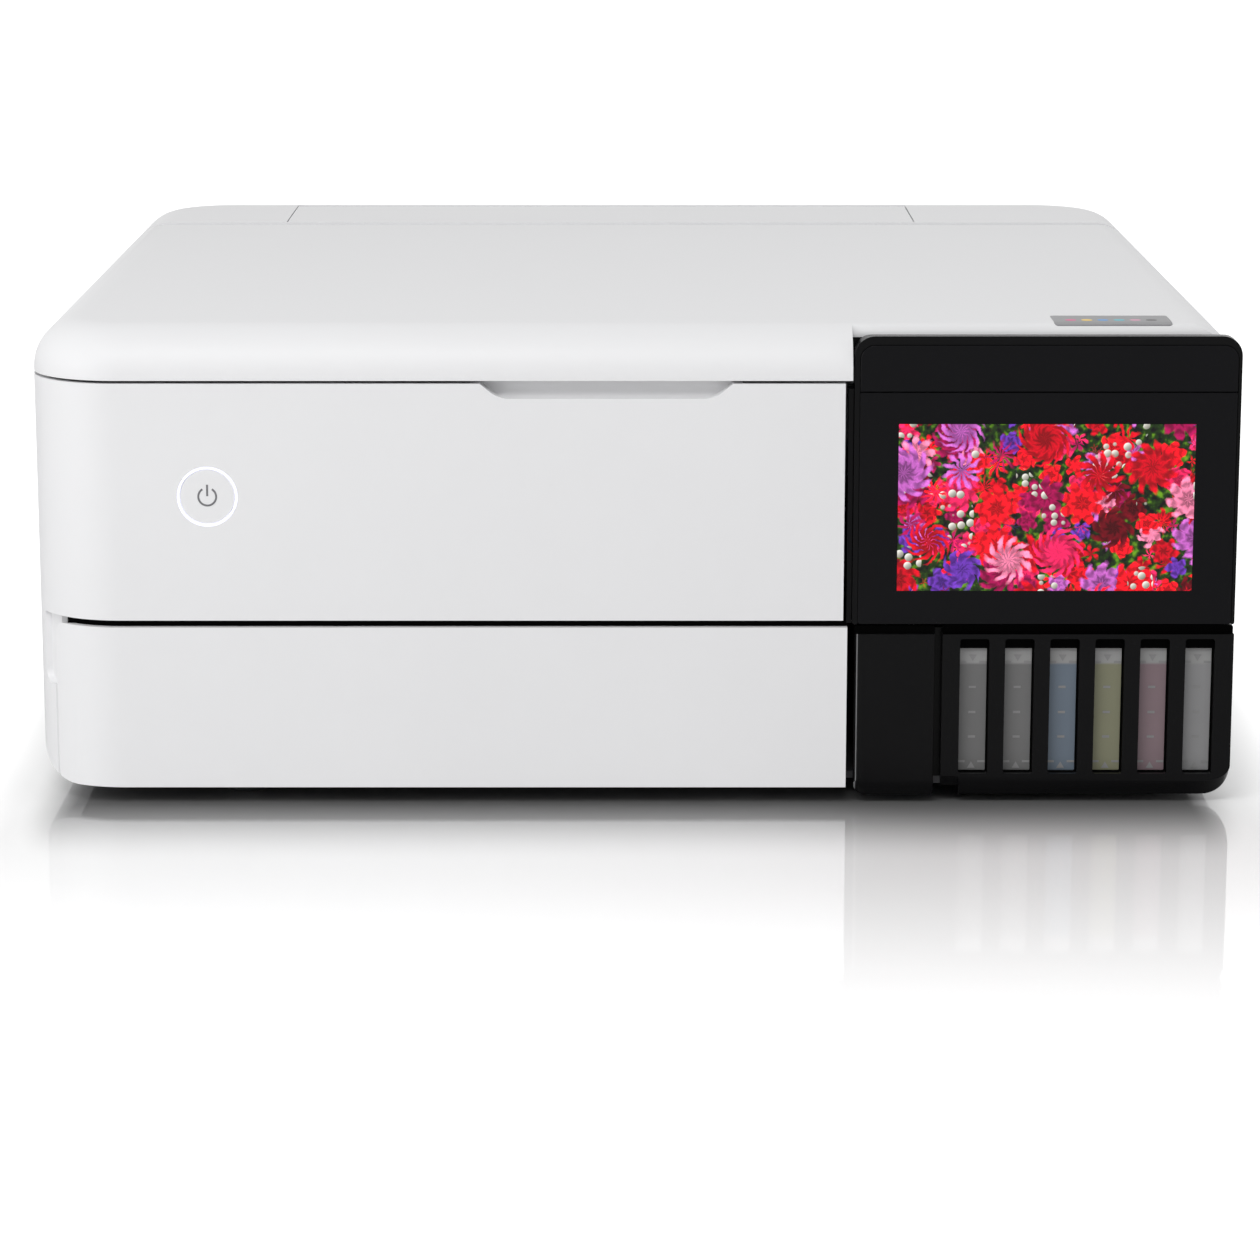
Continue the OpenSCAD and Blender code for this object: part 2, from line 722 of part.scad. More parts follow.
// Closed belt of two straight runs round two wheels, in the plane of its two axes
module belt_loop(a, b, r, w) {
    linear_extrude(height = w) difference() {
        union() {
            for (x = [a, b]) translate([x, 0]) circle(r = r + belt_t);
            translate([a, -r - belt_t]) square([b - a, 2 * (r + belt_t)]);
        }
        for (x = [a, b]) translate([x, 0]) circle(r = r);
        translate([a, -r]) square([b - a, 2 * r]);
    }
}

module drive_belts() {
    color(black) {
        translate([0, belt_y + belt_w, rod_z]) rotate([90, 0, 0])
            belt_loop(-pulley_x, pulley_x, pulley_r + 0.3, belt_w);
        translate([roller_belt_x, 0, axle_z]) rotate([90, 0, 90])
            belt_loop(-exit_y, feed_y, roller_pulley_r + 0.3, 3);
    }
}

module drive_motors() {
    color(grey) {
        rod_y(frame_y + frame_t, frame_y + 26, -pulley_x, rod_z, motor_r);
        rod_y(belt_y - 1.5, frame_y + 3, -pulley_x, rod_z, shaft_r);
        rod_x(-frame_x + frame_t, roller_belt_x - 5, feed_y, axle_z, motor_r);
        rod_x(roller_belt_x - 6, roller_belt_x + 3, feed_y, axle_z, shaft_r);
    }
}

module platen() {
    color(dark) difference() {
        box([paper_x0, 5 - exit_y, paper_z - 5], [paper_x1, feed_y - roller_r - 2, paper_z]);
        for (x = [paper_x0 + 12 : 18 : paper_x1 - 12])
            box([x, 9 - exit_y, paper_z - 3], [x + 12, feed_y - roller_r - 6, paper_z + 1]);
    }
}

module capping_station() {
    top = paper_z + 0.6;
    color(dark) difference() {
        box([carriage_x - 32, -40, pan_z], [carriage_x + 32, 12, top]);
        for (x = [carriage_x - 26, carriage_x + 4]) box([x, -34, top - 2], [x + 22, 2, top + 1]);
        box([carriage_x - 30, -38, pan_z - 1], [carriage_x + 30, 10, top - 14]);
    }
}

function tank_mid(i) = tank_x + i * tank_pitch;

module ink_tanks() {
    color([0.75, 0.77, 0.8]) for (i = [0 : tank_count - 1]) {
        x = tank_mid(i);
        intersection() {
            body_block(wall + rest_gap, body_h);
            box([x - tank_w / 2, tank_y, pan_z], [x + tank_w / 2, tube_y, tank_top]);
        }
        rod_z(tank_top - 0.5, tank_top + 4, x, neck_y, neck_r);
        for (side = [-1, 1])
            box([x + side * 5.6 - 1, cap_hinge_y - 2, tank_top - 0.5],
                [x + side * 5.6 + 1, cap_hinge_y + 2, cap_hinge_z + 1.5]);
        rod_x(x - 5.5, x + 5.5, cap_hinge_y, cap_hinge_z, cap_pin_r);
    }
}

module tank_cap(i) {
    x = tank_mid(i);
    cap_z0 = tank_top + 1;
    color(black) difference() {
        union() {
            box([x - 5.5, neck_y - 6, cap_z0], [x + 5.5, cap_hinge_y - 3, cap_hinge_z + 5]);
            box([x - 4, neck_y - 14, cap_hinge_z + 3], [x + 4, neck_y - 5, cap_hinge_z + 5]);
            box([x - 4, cap_hinge_y - 4, cap_hinge_z], [x + 4, cap_hinge_y, cap_hinge_z + 1.8]);
            rod_x(x - 4, x + 4, cap_hinge_y, cap_hinge_z, 1.8);
        }
        rod_x(x - 5, x + 5, cap_hinge_y, cap_hinge_z, cap_pin_r + pin_fit);
        rod_z(cap_z0 - 1, tank_top + 4.5, x, neck_y, neck_r + 0.5);
    }
}
module tank_cap_1() { tank_cap(0); }
module tank_cap_2() { tank_cap(1); }
module tank_cap_3() { tank_cap(2); }
module tank_cap_4() { tank_cap(3); }
module tank_cap_5() { tank_cap(4); }
module tank_cap_6() { tank_cap(5); }

// Front view outline of the black lower module, with its rounded lower right corner
module bezel_outline() {
    r = lower_right_r;
    polygon([[bezel_x, module_z], [xr - r, module_z], [xr, module_z + r], [xr, module_top],
        [bezel_x, module_top]]);
    translate([xr - r, module_z + r]) circle(r = r);
}

module tank_bezel() {
    color(black) difference() {
        translate([0, bay_y - 0.2, 0]) rotate([90, 0, 0]) linear_extrude(height = bay_y - 0.2 - yf)
            bezel_outline();
        intersection() {
            box([bezel_x - 1, yf + window_d, foot_h - rest_gap], [xr - wall, bay_y + 1, module_top - 2]);
            translate([0, 0, -rest_gap]) body_block(0, body_h);
        }
        for (i = [0 : tank_count - 1])
            box([tank_mid(i) - window_w / 2, yf - 1, window_z],
                [tank_mid(i) + window_w / 2, yf + window_d + 1, window_z + window_h]);
    }
}

module card_reader() {
    plate_y = yf + 6;
    right = bezel_x - 0.4;
    color(dark) difference() {
        union() {
            box([module_x + 1.5, plate_y, pan_z], [right, plate_y + 2, module_top - 1.5]);
            box([module_x + 6, plate_y + 1, pan_z], [right - 1, plate_y + 40, 52]);
            for (z = [12, 44]) {
                box([module_x + 2.5, plate_y - 3.5, z], [module_x + 5.5, plate_y + 1, z + 6]);
                rod_z(z, z + 6, module_x + 2.5, yf + 2.5, 1.35);
            }
        }
        for (z = [11, 43]) rod_z(z, z + 8, module_x + 2.5, yf + 2.5, 0.7 + pin_fit);
        box([module_x + 13, plate_y - 1, 19], [module_x + 15.8, plate_y + 30, 43.5]);
        box([module_x + 21, plate_y - 1, 24], [module_x + 26, plate_y + 14, 37]);
    }
}

module card_slot_door() {
    px = module_x + 2.5;
    py = yf + 2.5;
    color(black) difference() {
        union() {
            rod_z(module_z, module_top, px, py, 2.5);
            box([px, yf, module_z], [module_x + door_w, yf + 2.5, module_top]);
        }
        for (z = [12, 44]) difference() {
            union() {
                rod_z(z - 0.3, z + 6.3, px, py, 1.6);
                box([px - 2.6, py - 0.8, z - 0.3], [px + 3.2, py + 3, z + 6.3]);
            }
            rod_z(z - 1, z + 7, px, py, 0.7);
        }
    }
}

module ink_tubes() {
    color(dark) {
        box([tank_mid(0) - 7, tube_wall_y, pan_z], [tank_mid(tank_count - 1) + 2, tube_wall_y + 6, 54]);
        for (i = [0 : tank_count - 1]) rod_y(tube_y, tube_wall_y, tank_mid(i), 48, 1.6);
    }
}

module screws() {
    color(steel) for (p = screw_places) {
        rod_y(yr - 9, yr - screw_head_h + 0.1, p[0], p[1], screw_r);
        rod_y(yr - screw_head_h, yr, p[0], p[1], screw_head_r);
    }
}

// Plan outline of the scanner housing, set in by g from its own faces
module scanner_plan(g) {
    intersection() {
        plan(scanner_in + g);
        translate([xl, scanner_front + g]) square([body_w, scanner_rear - scanner_front - 2 * g]);
    }
}

module scanner_housing() {
    lug_x = lid_arm_w / 2 + 0.5;
    inner_top = seam_z - scanner_plate_t;
    color(dark) {
        difference() {
            translate([0, 0, scanner_z]) linear_extrude(height = scanner_h) scanner_plan(0);
            translate([0, 0, scanner_z + 2]) linear_extrude(height = inner_top - scanner_z - 2)
                scanner_plan(wall);
            box([-glass_w / 2 - 0.1, glass_y0 - 0.1, seam_z - glass_t],
                [glass_w / 2 + 0.1, glass_y1 + 0.1, seam_z + 1]);
            box([-glass_w / 2 + 3, glass_y0 + 3, inner_top - 1], [glass_w / 2 - 3, glass_y1 - 3, seam_z]);
        }
        for (side = [-1, 1]) {
            x0 = side * lid_hinge_x + lug_x;
            difference() {
                union() {
                    slab_x(x0, x0 + lid_lug_w, [[scanner_rear - 3, seam_z - 1],
                        [scanner_rear, seam_z - 1], [scanner_rear, seam_z],
                        [hinge_y + 3.2, hinge_z - 3.2], [hinge_y - 3.2, hinge_z + 3.2],
                        [scanner_rear - 3, seam_z]]);
                    rod_x(x0, x0 + lid_lug_w, hinge_y, hinge_z, lid_knuckle_r);
                }
                rod_x(x0 - 1, x0 + lid_lug_w + 1, hinge_y, hinge_z, lid_pin_r + pin_fit);
            }
        }
    }
}

module scanner_glass() {
    color([0.3, 0.4, 0.42]) box([-glass_w / 2, glass_y0, seam_z - glass_t], [glass_w / 2, glass_y1, seam_z]);
}

module scan_rail() {
    half = body_w / 2 - scanner_in - wall;
    color(steel) rod_x(-half, half, scan_rail_y, scan_rail_z, scan_rail_r);
}

module scan_bar() {
    x0 = 3 - glass_w / 2 + 4;
    color(black) difference() {
        union() {
            box([x0, glass_y0 + 4, scanner_z + 5],
                [x0 + bar_w, glass_y1 - 4, seam_z - scanner_plate_t - 0.5]);
            rod_x(x0 - 3, x0 + bar_w + 3, scan_rail_y, scan_rail_z, scan_rail_r + 2.5);
        }
        rod_x(x0 - 4, x0 + bar_w + 4, scan_rail_y, scan_rail_z, scan_rail_r + pin_fit);
        box([x0 + 3, glass_y0 + 7, seam_z - scanner_plate_t - 2], [x0 + bar_w - 3, glass_y1 - 7, seam_z]);
    }
}

module document_cover() {
    lug_x = lid_arm_w / 2 + 0.5 + lid_lug_w;
    color(white) {
        difference() {
            lid_solid(0);
            lid_cutout(0);
            difference() {
                lid_solid(wall);
                lid_cutout(wall);
                box([xl, yf, lid_plate_z], [xr, lid_plate_y, lid_plate_z + lid_plate_t]);
                box([xl, lid_plate_y - lid_plate_t, lid_plate_z], [xr, lid_plate_y, body_h]);
            }
        }
        for (side = [-1, 1]) {
            x0 = side * lid_hinge_x - lug_x;
            difference() {
                union() {
                    box([x0, hinge_y - lid_knuckle_r, hinge_z],
                        [x0 + lid_lug_w, hinge_y + 2, body_h - wall + 0.5]);
                    rod_x(x0, x0 + lid_lug_w, hinge_y, hinge_z, lid_knuckle_r);
                }
                rod_x(x0 - 1, x0 + lid_lug_w + 1, hinge_y, hinge_z, lid_pin_r + pin_fit);
            }
        }
    }
}

module document_mat() {
    color([0.97, 0.97, 0.97]) box([-glass_w / 2 - 1, glass_y0 - 1, lid_plate_z - mat_t],
        [glass_w / 2 + 1, lid_plate_y - 1, lid_plate_z]);
}

module panel_frame() {
    back = yf + panel_t;
    axis_z = panel_top - 4.5;
    face = yf + plate_t;
    color(black) difference() {
        union() {
            box([module_x, face, panel_z], [xr, back, axis_z]);
            box([module_x, yf, plate_top], [xr, back, axis_z]);
            box([module_x, yf, plate_top], [xr, back - 4.5, panel_top]);
            rod_x(module_x, xr, back - 4.5, axis_z, 4.5);
        }
        box([module_x + wall, face + 2, panel_z + wall], [xr - wall, back + 1, axis_z]);
        rod_x(module_x + wall, xr - wall, back - 4.5, axis_z, 2.5);
        for (x = [module_x + 0.5, xr - wall - 1]) rod_x(x, x + 3, back - 4.5, axis_z, shaft_r + pin_fit);
        box([module_x + screen_x - 2, face - 1, screen_z - 2],
            [module_x + screen_x + screen_w + 2, face + 3, screen_z + screen_h + 2]);
    }
}

module touch_panel() {
    color(black) difference() {
        box([module_x + 0.6, yf, panel_z], [xr - 0.6, yf + plate_t, plate_top - 0.3]);
        box([module_x + screen_x - 0.1, yf - 1, screen_z - 0.1],
            [module_x + screen_x + screen_w + 0.1, yf + plate_t + 1, screen_z + screen_h + 0.1]);
    }
}

module display_module() {
    color([0.2, 0.3, 0.32]) {
        box([module_x + screen_x, yf + 0.2, screen_z],
            [module_x + screen_x + screen_w, yf + plate_t + 2.5, screen_z + screen_h]);
        box([module_x + screen_x - 1.7, yf + plate_t, screen_z - 1.7],
            [module_x + screen_x + screen_w + 1.7, yf + plate_t + 2.5, screen_z + screen_h + 1.7]);
    }
}

module power_button() {
    x = xl + button_x;
    color(white) {
        rod_y(yf, yf + 3, x, button_z, button_r);
        rod_y(yf + 2, yf + 9.5 - button_travel - 0.2, x, button_z, 3);
    }
}

// Both hinge places of the lower cover along X
cover_hinges = [paper_x0 + 31, paper_x1 - 27];

module paper_cassette() {
    x0 = paper_x0 + slide_gap;
    x1 = paper_x1 - slide_gap;
    y1 = cassette_y1;
    z0 = pan_z + rest_gap;
    pin_y = yf + cover_pin_y;
    color(dark) difference() {
        union() {
            box([x0, pan_front, z0], [x1, y1, cassette_top]);
            for (x = cover_hinges) {
                box([x - 4, pin_y, z0], [x + 4, pan_front + 1, cover_pin_z + 2.7]);
                rod_x(x - 4, x + 4, pin_y, cover_pin_z, 2.7);
            }
        }
        box([x0 + cassette_t, pan_front + cassette_t, z0 + cassette_t],
            [x1 - cassette_t, y1 - cassette_t, cassette_top + 1]);
        for (x = cover_hinges) rod_x(x - 5, x + 5, pin_y, cover_pin_z, shaft_r + pin_fit);
        box([paper_mid - 35, pan_front - 1, cassette_top - 8],
            [paper_mid + 35, pan_front + 5, cassette_top + 1]);
    }
}

module front_cover() {
    pin_y = yf + cover_pin_y;
    color(white) {
        difference() {
            body_block(0, cover_top);
            body_block(cover_t, cover_top + 1);
            box([xl - 1, yf + cover_wrap, 0], [xr, yr + 1, cover_top + 1]);
            box([cover_x, yf - 1, 0], [xr + 1, yr + 1, cover_top + 1]);
            intersection() {
                box([xl + lower_left_r, yf + cover_t, 0], [xr, yr, foot_h + cover_t + 1]);
                linear_extrude(height = body_h) plan(cover_t);
            }
            difference() {
                box([xl - 1, pin_y, 0], [xl + front_r, yf + cover_wrap + 1, cover_pin_z]);
                rod_x(xl - 2, xl + front_r + 1, pin_y, cover_pin_z, cover_wrap - cover_pin_y);
            }
        }
        for (x = cover_hinges) {
            for (side = [-1, 1]) {
                x0 = x + side * 8.2 - 4;
                rod_x(x0, x0 + 8, pin_y, cover_pin_z, 2.7);
                box([x0, yf + cover_t - 0.5, cover_pin_z - 2.7], [x0 + 8, pin_y, cover_pin_z + 2.7]);
            }
            rod_x(x - 5, x + 5, pin_y, cover_pin_z, shaft_r);
        }
    }
}

// Paper guide standing on the cassette floor: side is -1 on the left and 1 on the right
module cassette_guide(side) {
    wall_x = paper_mid + side * (paper_w / 2 - slide_gap - cassette_t - 0.5);
    z0 = pan_z + rest_gap + cassette_t + rest_gap;
    foot = [min(wall_x, wall_x - side * 30), max(wall_x, wall_x - side * 30)];
    color(grey) {
        box([min(wall_x, wall_x - side * 1.5), -40, z0],
            [max(wall_x, wall_x - side * 1.5), 40, cassette_top - 2]);
        box([foot[0], -12, z0], [foot[1], 12, z0 + 1.4]);
    }
}
module cassette_guide_left() { cassette_guide(-1); }
module cassette_guide_right() { cassette_guide(1); }

module output_tray() {
    x0 = paper_x0 + slide_gap;
    x1 = paper_x1 - slide_gap;
    color(dark) {
        box([x0, tray_y0, tray_top - 2.5], [x1, tray_y1, tray_top]);
        for (x = [x0, x1 - tray_rail_w]) {
            box([x, tray_y0, tray_z], [x + tray_rail_w, tray_y1, tray_top - 2]);
        }
        box([x0 + tray_rail_w - 1, tray_y0, tray_z], [x0 + tray_rail_w + 4, tray_y1, tray_z + 0.6]);
        box([x1 - tray_rail_w - 4, tray_y0, tray_z], [x1 - tray_rail_w + 1, tray_y1, tray_z + 0.6]);
    }
}

module tray_extension() {
    x0 = paper_x0 + slide_gap + tray_rail_w + slide_gap;
    x1 = paper_x1 - slide_gap - tray_rail_w - slide_gap;
    z0 = tray_z + 0.6 + 0.3;
    color(dark) difference() {
        box([x0, tray_y0 + 2, z0], [x1, tray_y1 - 4, tray_top - 2.5 - 0.3]);
        box([paper_mid - 18, tray_y0 + 1, z0 - 1], [paper_mid + 18, tray_y0 + 12, tray_top]);
    }
}

module print_carriage() {
    x0 = carriage_x - carriage_w / 2;
    x1 = carriage_x + carriage_w / 2;
    z0 = carriage_z;
    z1 = scanner_z - carriage_clear;
    run_z = rod_z - pulley_r - 0.3 - belt_t;
    back = frame_y - 9;
    color(dark) difference() {
        union() {
            box([x0, -50, z0], [x1, back, z0 + 26]);
            box([x0, -30, z0], [x1, back, z1]);
            box([carriage_x - 10, back - 1, run_z - 2.8], [carriage_x + 10, frame_y - 2, run_z - 0.4]);
            box([carriage_x - 10, back - 1, run_z + belt_t + 0.4],
                [carriage_x + 10, frame_y - 2, run_z + belt_t + 3]);
            box([carriage_x - 7, back - 1, rod_z + 9], [carriage_x + 7, frame_y - 1, z1]);
        }
        rod_x(x0 - 1, x1 + 1, rod_y, rod_z, rod_r + pin_fit);
        box([x0 + 3, -27, z0 + 30], [x1 - 3, rod_y - rod_r - 3, z1 + 1]);
        box([x0 - 1, frame_y - 5.6, rod_z + 8], [x1 + 1, frame_y - 3.6, rod_z + 16.5]);
    }
}

module print_head() {
    color(steel) box([carriage_x - 26, -42, paper_z + 2], [carriage_x + 26, 4, carriage_z]);
}

module belt_pulley(x, bore) {
    color(grey) difference() {
        union() {
            rod_y(belt_y - 0.3, belt_y + belt_w + 0.3, x, rod_z, pulley_r);
            rod_y(belt_y - 1.3, belt_y - 0.3, x, rod_z, pulley_r + 1.6);
        }
        rod_y(belt_y - 3, belt_y + belt_w + 3, x, rod_z, bore);
    }
}
module motor_pulley() { belt_pulley(-pulley_x, shaft_r + pin_fit); }
module idler_pulley() { belt_pulley(pulley_x, shaft_r + 0.5 + pin_fit); }

// Shaft between the rail walls with its journals and its pulley at the left end
module paper_roller(y) {
    difference() {
        union() {
            rod_x(paper_x0 + 0.3, paper_x1 - 0.3, y, axle_z, journal_r);
            rod_x(roller_belt_x, paper_x1 + rail_t + 2, y, axle_z, journal_r);
            rod_x(roller_belt_x, roller_belt_x + 3, y, axle_z, roller_pulley_r);
            children();
        }
        rod_x(roller_belt_x - 1, roller_belt_x + 4, y, axle_z, shaft_r + pin_fit);
    }
}
module feed_roller() {
    color(steel) paper_roller(feed_y) rod_x(paper_x0 + 0.6, paper_x1 - 0.6, feed_y, axle_z, roller_r);
}
module exit_roller() {
    color(black) paper_roller(-exit_y) for (x = [paper_x0 + 12 : 36 : paper_x1 - 20])
        rod_x(x, x + 12, -exit_y, axle_z, roller_r);
}

module paper_support() {
    color(white) difference() {
        union() {
            box([support_x0, support_y - support_d, body_h - support_t], [support_x1, support_y, body_h]);
            rod_x(support_x0, support_x1, support_y, support_axis_z, support_r);
        }
        for (x = [support_x0 - 1, support_x1 - 6])
            rod_x(x, x + 7, support_y, support_axis_z, shaft_r + pin_fit);
    }
}

// Guide standing on the hopper slope: side is -1 on the left and 1 on the right
module feeder_guide(side) {
    x = -support_x + side * 105.5;
    foot = [min(x, x - side * 22), max(x, x - side * 22)];
    color(grey) on_slope() {
        box([min(x, x + side * 2), 8, rest_gap], [max(x, x + side * 2), 54, 10]);
        box([foot[0], 20, rest_gap], [foot[1], 44, rest_gap + 1.5]);
    }
}
module feeder_guide_left() { feeder_guide(-1); }
module feeder_guide_right() { feeder_guide(1); }

module maintenance_box() {
    x0 = box_x - box_w / 2;
    x1 = box_x + box_w / 2;
    color(grey) difference() {
        box([x0, yr - box_d, box_z], [x1, yr, box_z + box_h]);
        box([x0 + 3, yr - box_d + 3, box_z + 3], [x1 - 3, yr - 12, box_z + box_h + 1]);
        box([box_x - 14, yr - 8, box_z + 8], [box_x + 14, yr + 1, box_z + 20]);
    }
}

base_pan();
rubber_feet();
left_housing();
right_housing();
rear_housing();
front_fascia();
feeder_deck();
feed_hopper();
panel_bay();
lid_hinges();
power_light_ring();
main_board();
power_supply();
mains_inlet();
rear_ports();
inner_frame();
guide_rails();
encoder_strip();
drive_belts();
drive_motors();
platen();
capping_station();
ink_tanks();
tank_bezel();
card_reader();
ink_tubes();
screws();
scanner_housing();
scanner_glass();
scan_rail();
scan_bar();
document_cover();
document_mat();
panel_frame();
touch_panel();
display_module();
power_button();
paper_cassette();
front_cover();
cassette_guide_left();
cassette_guide_right();
output_tray();
tray_extension();
print_carriage();
print_head();
motor_pulley();
idler_pulley();
feed_roller();
exit_roller();
paper_support();
tank_cap_1();
tank_cap_2();
tank_cap_3();
tank_cap_4();
tank_cap_5();
tank_cap_6();
card_slot_door();
maintenance_box();
feeder_guide_left();
feeder_guide_right();
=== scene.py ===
# %% [markdown]
# # A six-tank inkjet printer
# The printer is a white box with softly rounded upper edges, a scanner lid on top, a black touch panel
# and a black ink tank module at its right. Its inner works are carried over from the construction model.
# This notebook dresses that model: the shells are modelled again with fine rounded edges, the small
# things that a maker would see are added, and every surface gets its own procedural finish.

# %% Load the construction model
import json
import math

import bmesh
import bpy
from mathutils import Matrix, Vector

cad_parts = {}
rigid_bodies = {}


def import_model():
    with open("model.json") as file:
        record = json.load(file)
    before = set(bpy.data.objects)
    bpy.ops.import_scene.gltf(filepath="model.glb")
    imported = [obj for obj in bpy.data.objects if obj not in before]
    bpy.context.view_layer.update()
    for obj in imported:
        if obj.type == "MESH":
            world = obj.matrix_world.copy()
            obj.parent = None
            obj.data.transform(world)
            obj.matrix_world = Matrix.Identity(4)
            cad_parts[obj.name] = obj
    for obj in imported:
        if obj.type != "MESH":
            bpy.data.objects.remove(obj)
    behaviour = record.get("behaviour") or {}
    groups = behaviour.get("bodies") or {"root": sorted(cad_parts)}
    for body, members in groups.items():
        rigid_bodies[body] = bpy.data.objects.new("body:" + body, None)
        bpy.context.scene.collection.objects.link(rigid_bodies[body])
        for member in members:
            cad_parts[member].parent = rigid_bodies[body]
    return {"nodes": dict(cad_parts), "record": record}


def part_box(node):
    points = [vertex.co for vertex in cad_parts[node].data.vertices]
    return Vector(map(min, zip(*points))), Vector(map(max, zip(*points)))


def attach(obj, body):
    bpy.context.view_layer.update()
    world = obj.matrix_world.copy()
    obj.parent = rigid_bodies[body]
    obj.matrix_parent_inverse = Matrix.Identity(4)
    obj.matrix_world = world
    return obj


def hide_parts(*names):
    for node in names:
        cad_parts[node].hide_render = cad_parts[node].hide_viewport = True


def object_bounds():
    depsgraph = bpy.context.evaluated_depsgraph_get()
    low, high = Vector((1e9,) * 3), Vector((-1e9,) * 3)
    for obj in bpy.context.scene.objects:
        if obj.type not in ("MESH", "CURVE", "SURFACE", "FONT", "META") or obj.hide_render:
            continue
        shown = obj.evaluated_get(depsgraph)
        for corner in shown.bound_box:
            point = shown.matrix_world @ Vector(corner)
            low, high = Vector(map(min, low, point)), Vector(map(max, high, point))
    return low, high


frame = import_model()
cad_low, cad_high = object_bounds()

# %% [markdown]
# The whole notebook counts in millimetres, as the construction does, and turns them into metres only
# where a mesh is written. Main faces are read from the model's boxes, so a piece goes where its CAD
# solid is. Radii and skins, which a box can't tell, are named here once.

# %% Main sizes
MM = 0.001


def reach(node):
    """Lowest and highest corner of a CAD node in millimetres."""
    low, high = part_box(node)
    return Vector(low) / MM, Vector(high) / MM


body_low, body_high = (Vector(c) / MM for c in (cad_low, cad_high))
left, front = body_low.x, body_low.y
right, rear, top = body_high
seam_z = reach("left_housing")[1].z
lid_low, lid_high = reach("document_cover")
deck_low, deck_high = reach("feeder_deck")
fascia_low, fascia_high = reach("front_fascia")
cover_low, cover_high = reach("front_cover")
module_low, module_high = reach("panel_frame")
foot_h = reach("rubber_feet")[1].z
wall = 2.5
front_r, side_r, rear_r = 30.0, 4.0, 36.0
crown_r = 16.5
lower_left_r, lower_right_r = 14.0, 9.0
print("body", tuple(round(v, 1) for v in (right - left, rear - front, top)), "mm")

# %% [markdown]
# ## Camera
# A printer is pictured from a distance with a long lens, so its front stays square. The camera stands
# one and a half metres in front of it and looks a little down.

# %% Camera
camera = bpy.data.objects.new("camera", bpy.data.cameras.new("camera"))
bpy.context.scene.collection.objects.link(camera)
camera.location = Vector((-0.7, -1528.0, 353.0)) * MM
camera.rotation_euler = (math.radians(77.67), 0.0, 0.0)
camera.data.lens = 117.03
camera.data.sensor_width = 36.0
camera.data.clip_start, camera.data.clip_end = 0.05, 50.0
bpy.context.scene.camera = camera
bpy.context.scene.view_settings.view_transform = "Standard"
print("camera lens", camera.data.lens)

# %% [markdown]
# ## Shader groups
# Moulded plastic isn't flat: the mould's spark-eroded texture leaves a fine grain, and its sheen drifts
# a little over a large face. Both are one node group, which each plastic uses with its own numbers.


# %% Helpers for node trees
def node(tree, kind, place, **values):
    """A new node at a place, with its properties set."""
    made = tree.nodes.new(kind)
    made.location = place
    for name, value in values.items():
        setattr(made, name, value)
    return made


def new_group(name, inputs, outputs):
    """A shader node group with float inputs {name: default} and outputs {name: socket type}."""
    group = bpy.data.node_groups.new(name, "ShaderNodeTree")
    for title, default in inputs.items():
        socket = group.interface.new_socket(title, in_out="INPUT", socket_type="NodeSocketFloat")
        socket.default_value = default
    for title, kind in outputs.items():
        group.interface.new_socket(title, in_out="OUTPUT", socket_type=kind)
    start = node(group, "NodeGroupInput", (-800, 0))
    end = node(group, "NodeGroupOutput", (600, 0))
    return group, start, end


def scaled_noise(group, start, scale_name, place, detail=2.0):
    """Noise on Object coordinates, with its scale from a group input in waves per millimetre."""
    coords = node(group, "ShaderNodeTexCoord", (place[0] - 400, place[1]))
    per_metre = node(group, "ShaderNodeMath", (place[0] - 200, place[1] - 150), operation="MULTIPLY")
    per_metre.inputs[1].default_value = 1.0 / MM
    group.links.new(start.outputs[scale_name], per_metre.inputs[0])
    noise = node(group, "ShaderNodeTexNoise", place)
    noise.inputs["Detail"].default_value = detail
    group.links.new(coords.outputs["Object"], noise.inputs["Vector"])
    group.links.new(per_metre.outputs[0], noise.inputs["Scale"])
    return noise


def between(group, factor, low, high, place):
    """Value that goes from low to high as factor goes from 0.3 to 0.7, the usual span of noise."""
    span = node(group, "ShaderNodeMapRange", place)
    span.inputs["From Min"].default_value = 0.3
    span.inputs["From Max"].default_value = 0.7
    group.links.new(factor, span.inputs["Value"])
    for socket, name in ((low, "To Min"), (high, "To Max")):
        if isinstance(socket, float):
            span.inputs[name].default_value = socket
        else:
            group.links.new(socket, span.inputs[name])
    return span


# %% Group: moulded grain
def make_moulded_grain():
    """Fine mould texture and a slow drift of sheen and shade."""
    group, start, end = new_group(
        "moulded_grain",
        {"Grain": 2.5, "Drift": 0.02, "Low Roughness": 0.45, "High Roughness": 0.55, "Shade": 0.04},
        {"Height": "NodeSocketFloat", "Roughness": "NodeSocketFloat", "Shade": "NodeSocketFloat"},
    )
    grain = scaled_noise(group, start, "Grain", (-200, 200))
    drift = scaled_noise(group, start, "Drift", (-200, -100), detail=4.0)
    sheen = between(group, drift.outputs["Fac"], start.outputs["Low Roughness"],
                    start.outputs["High Roughness"], (100, -50))
    darker = node(group, "ShaderNodeMath", (-100, -350), operation="SUBTRACT")
    darker.inputs[0].default_value = 1.0
    group.links.new(start.outputs["Shade"], darker.inputs[1])
    shade = between(group, drift.outputs["Fac"], darker.outputs[0], 1.0, (100, -300))
    group.links.new(grain.outputs["Fac"], end.inputs["Height"])
    group.links.new(sheen.outputs["Result"], end.inputs["Roughness"])
    group.links.new(shade.outputs["Result"], end.inputs["Shade"])
    return group


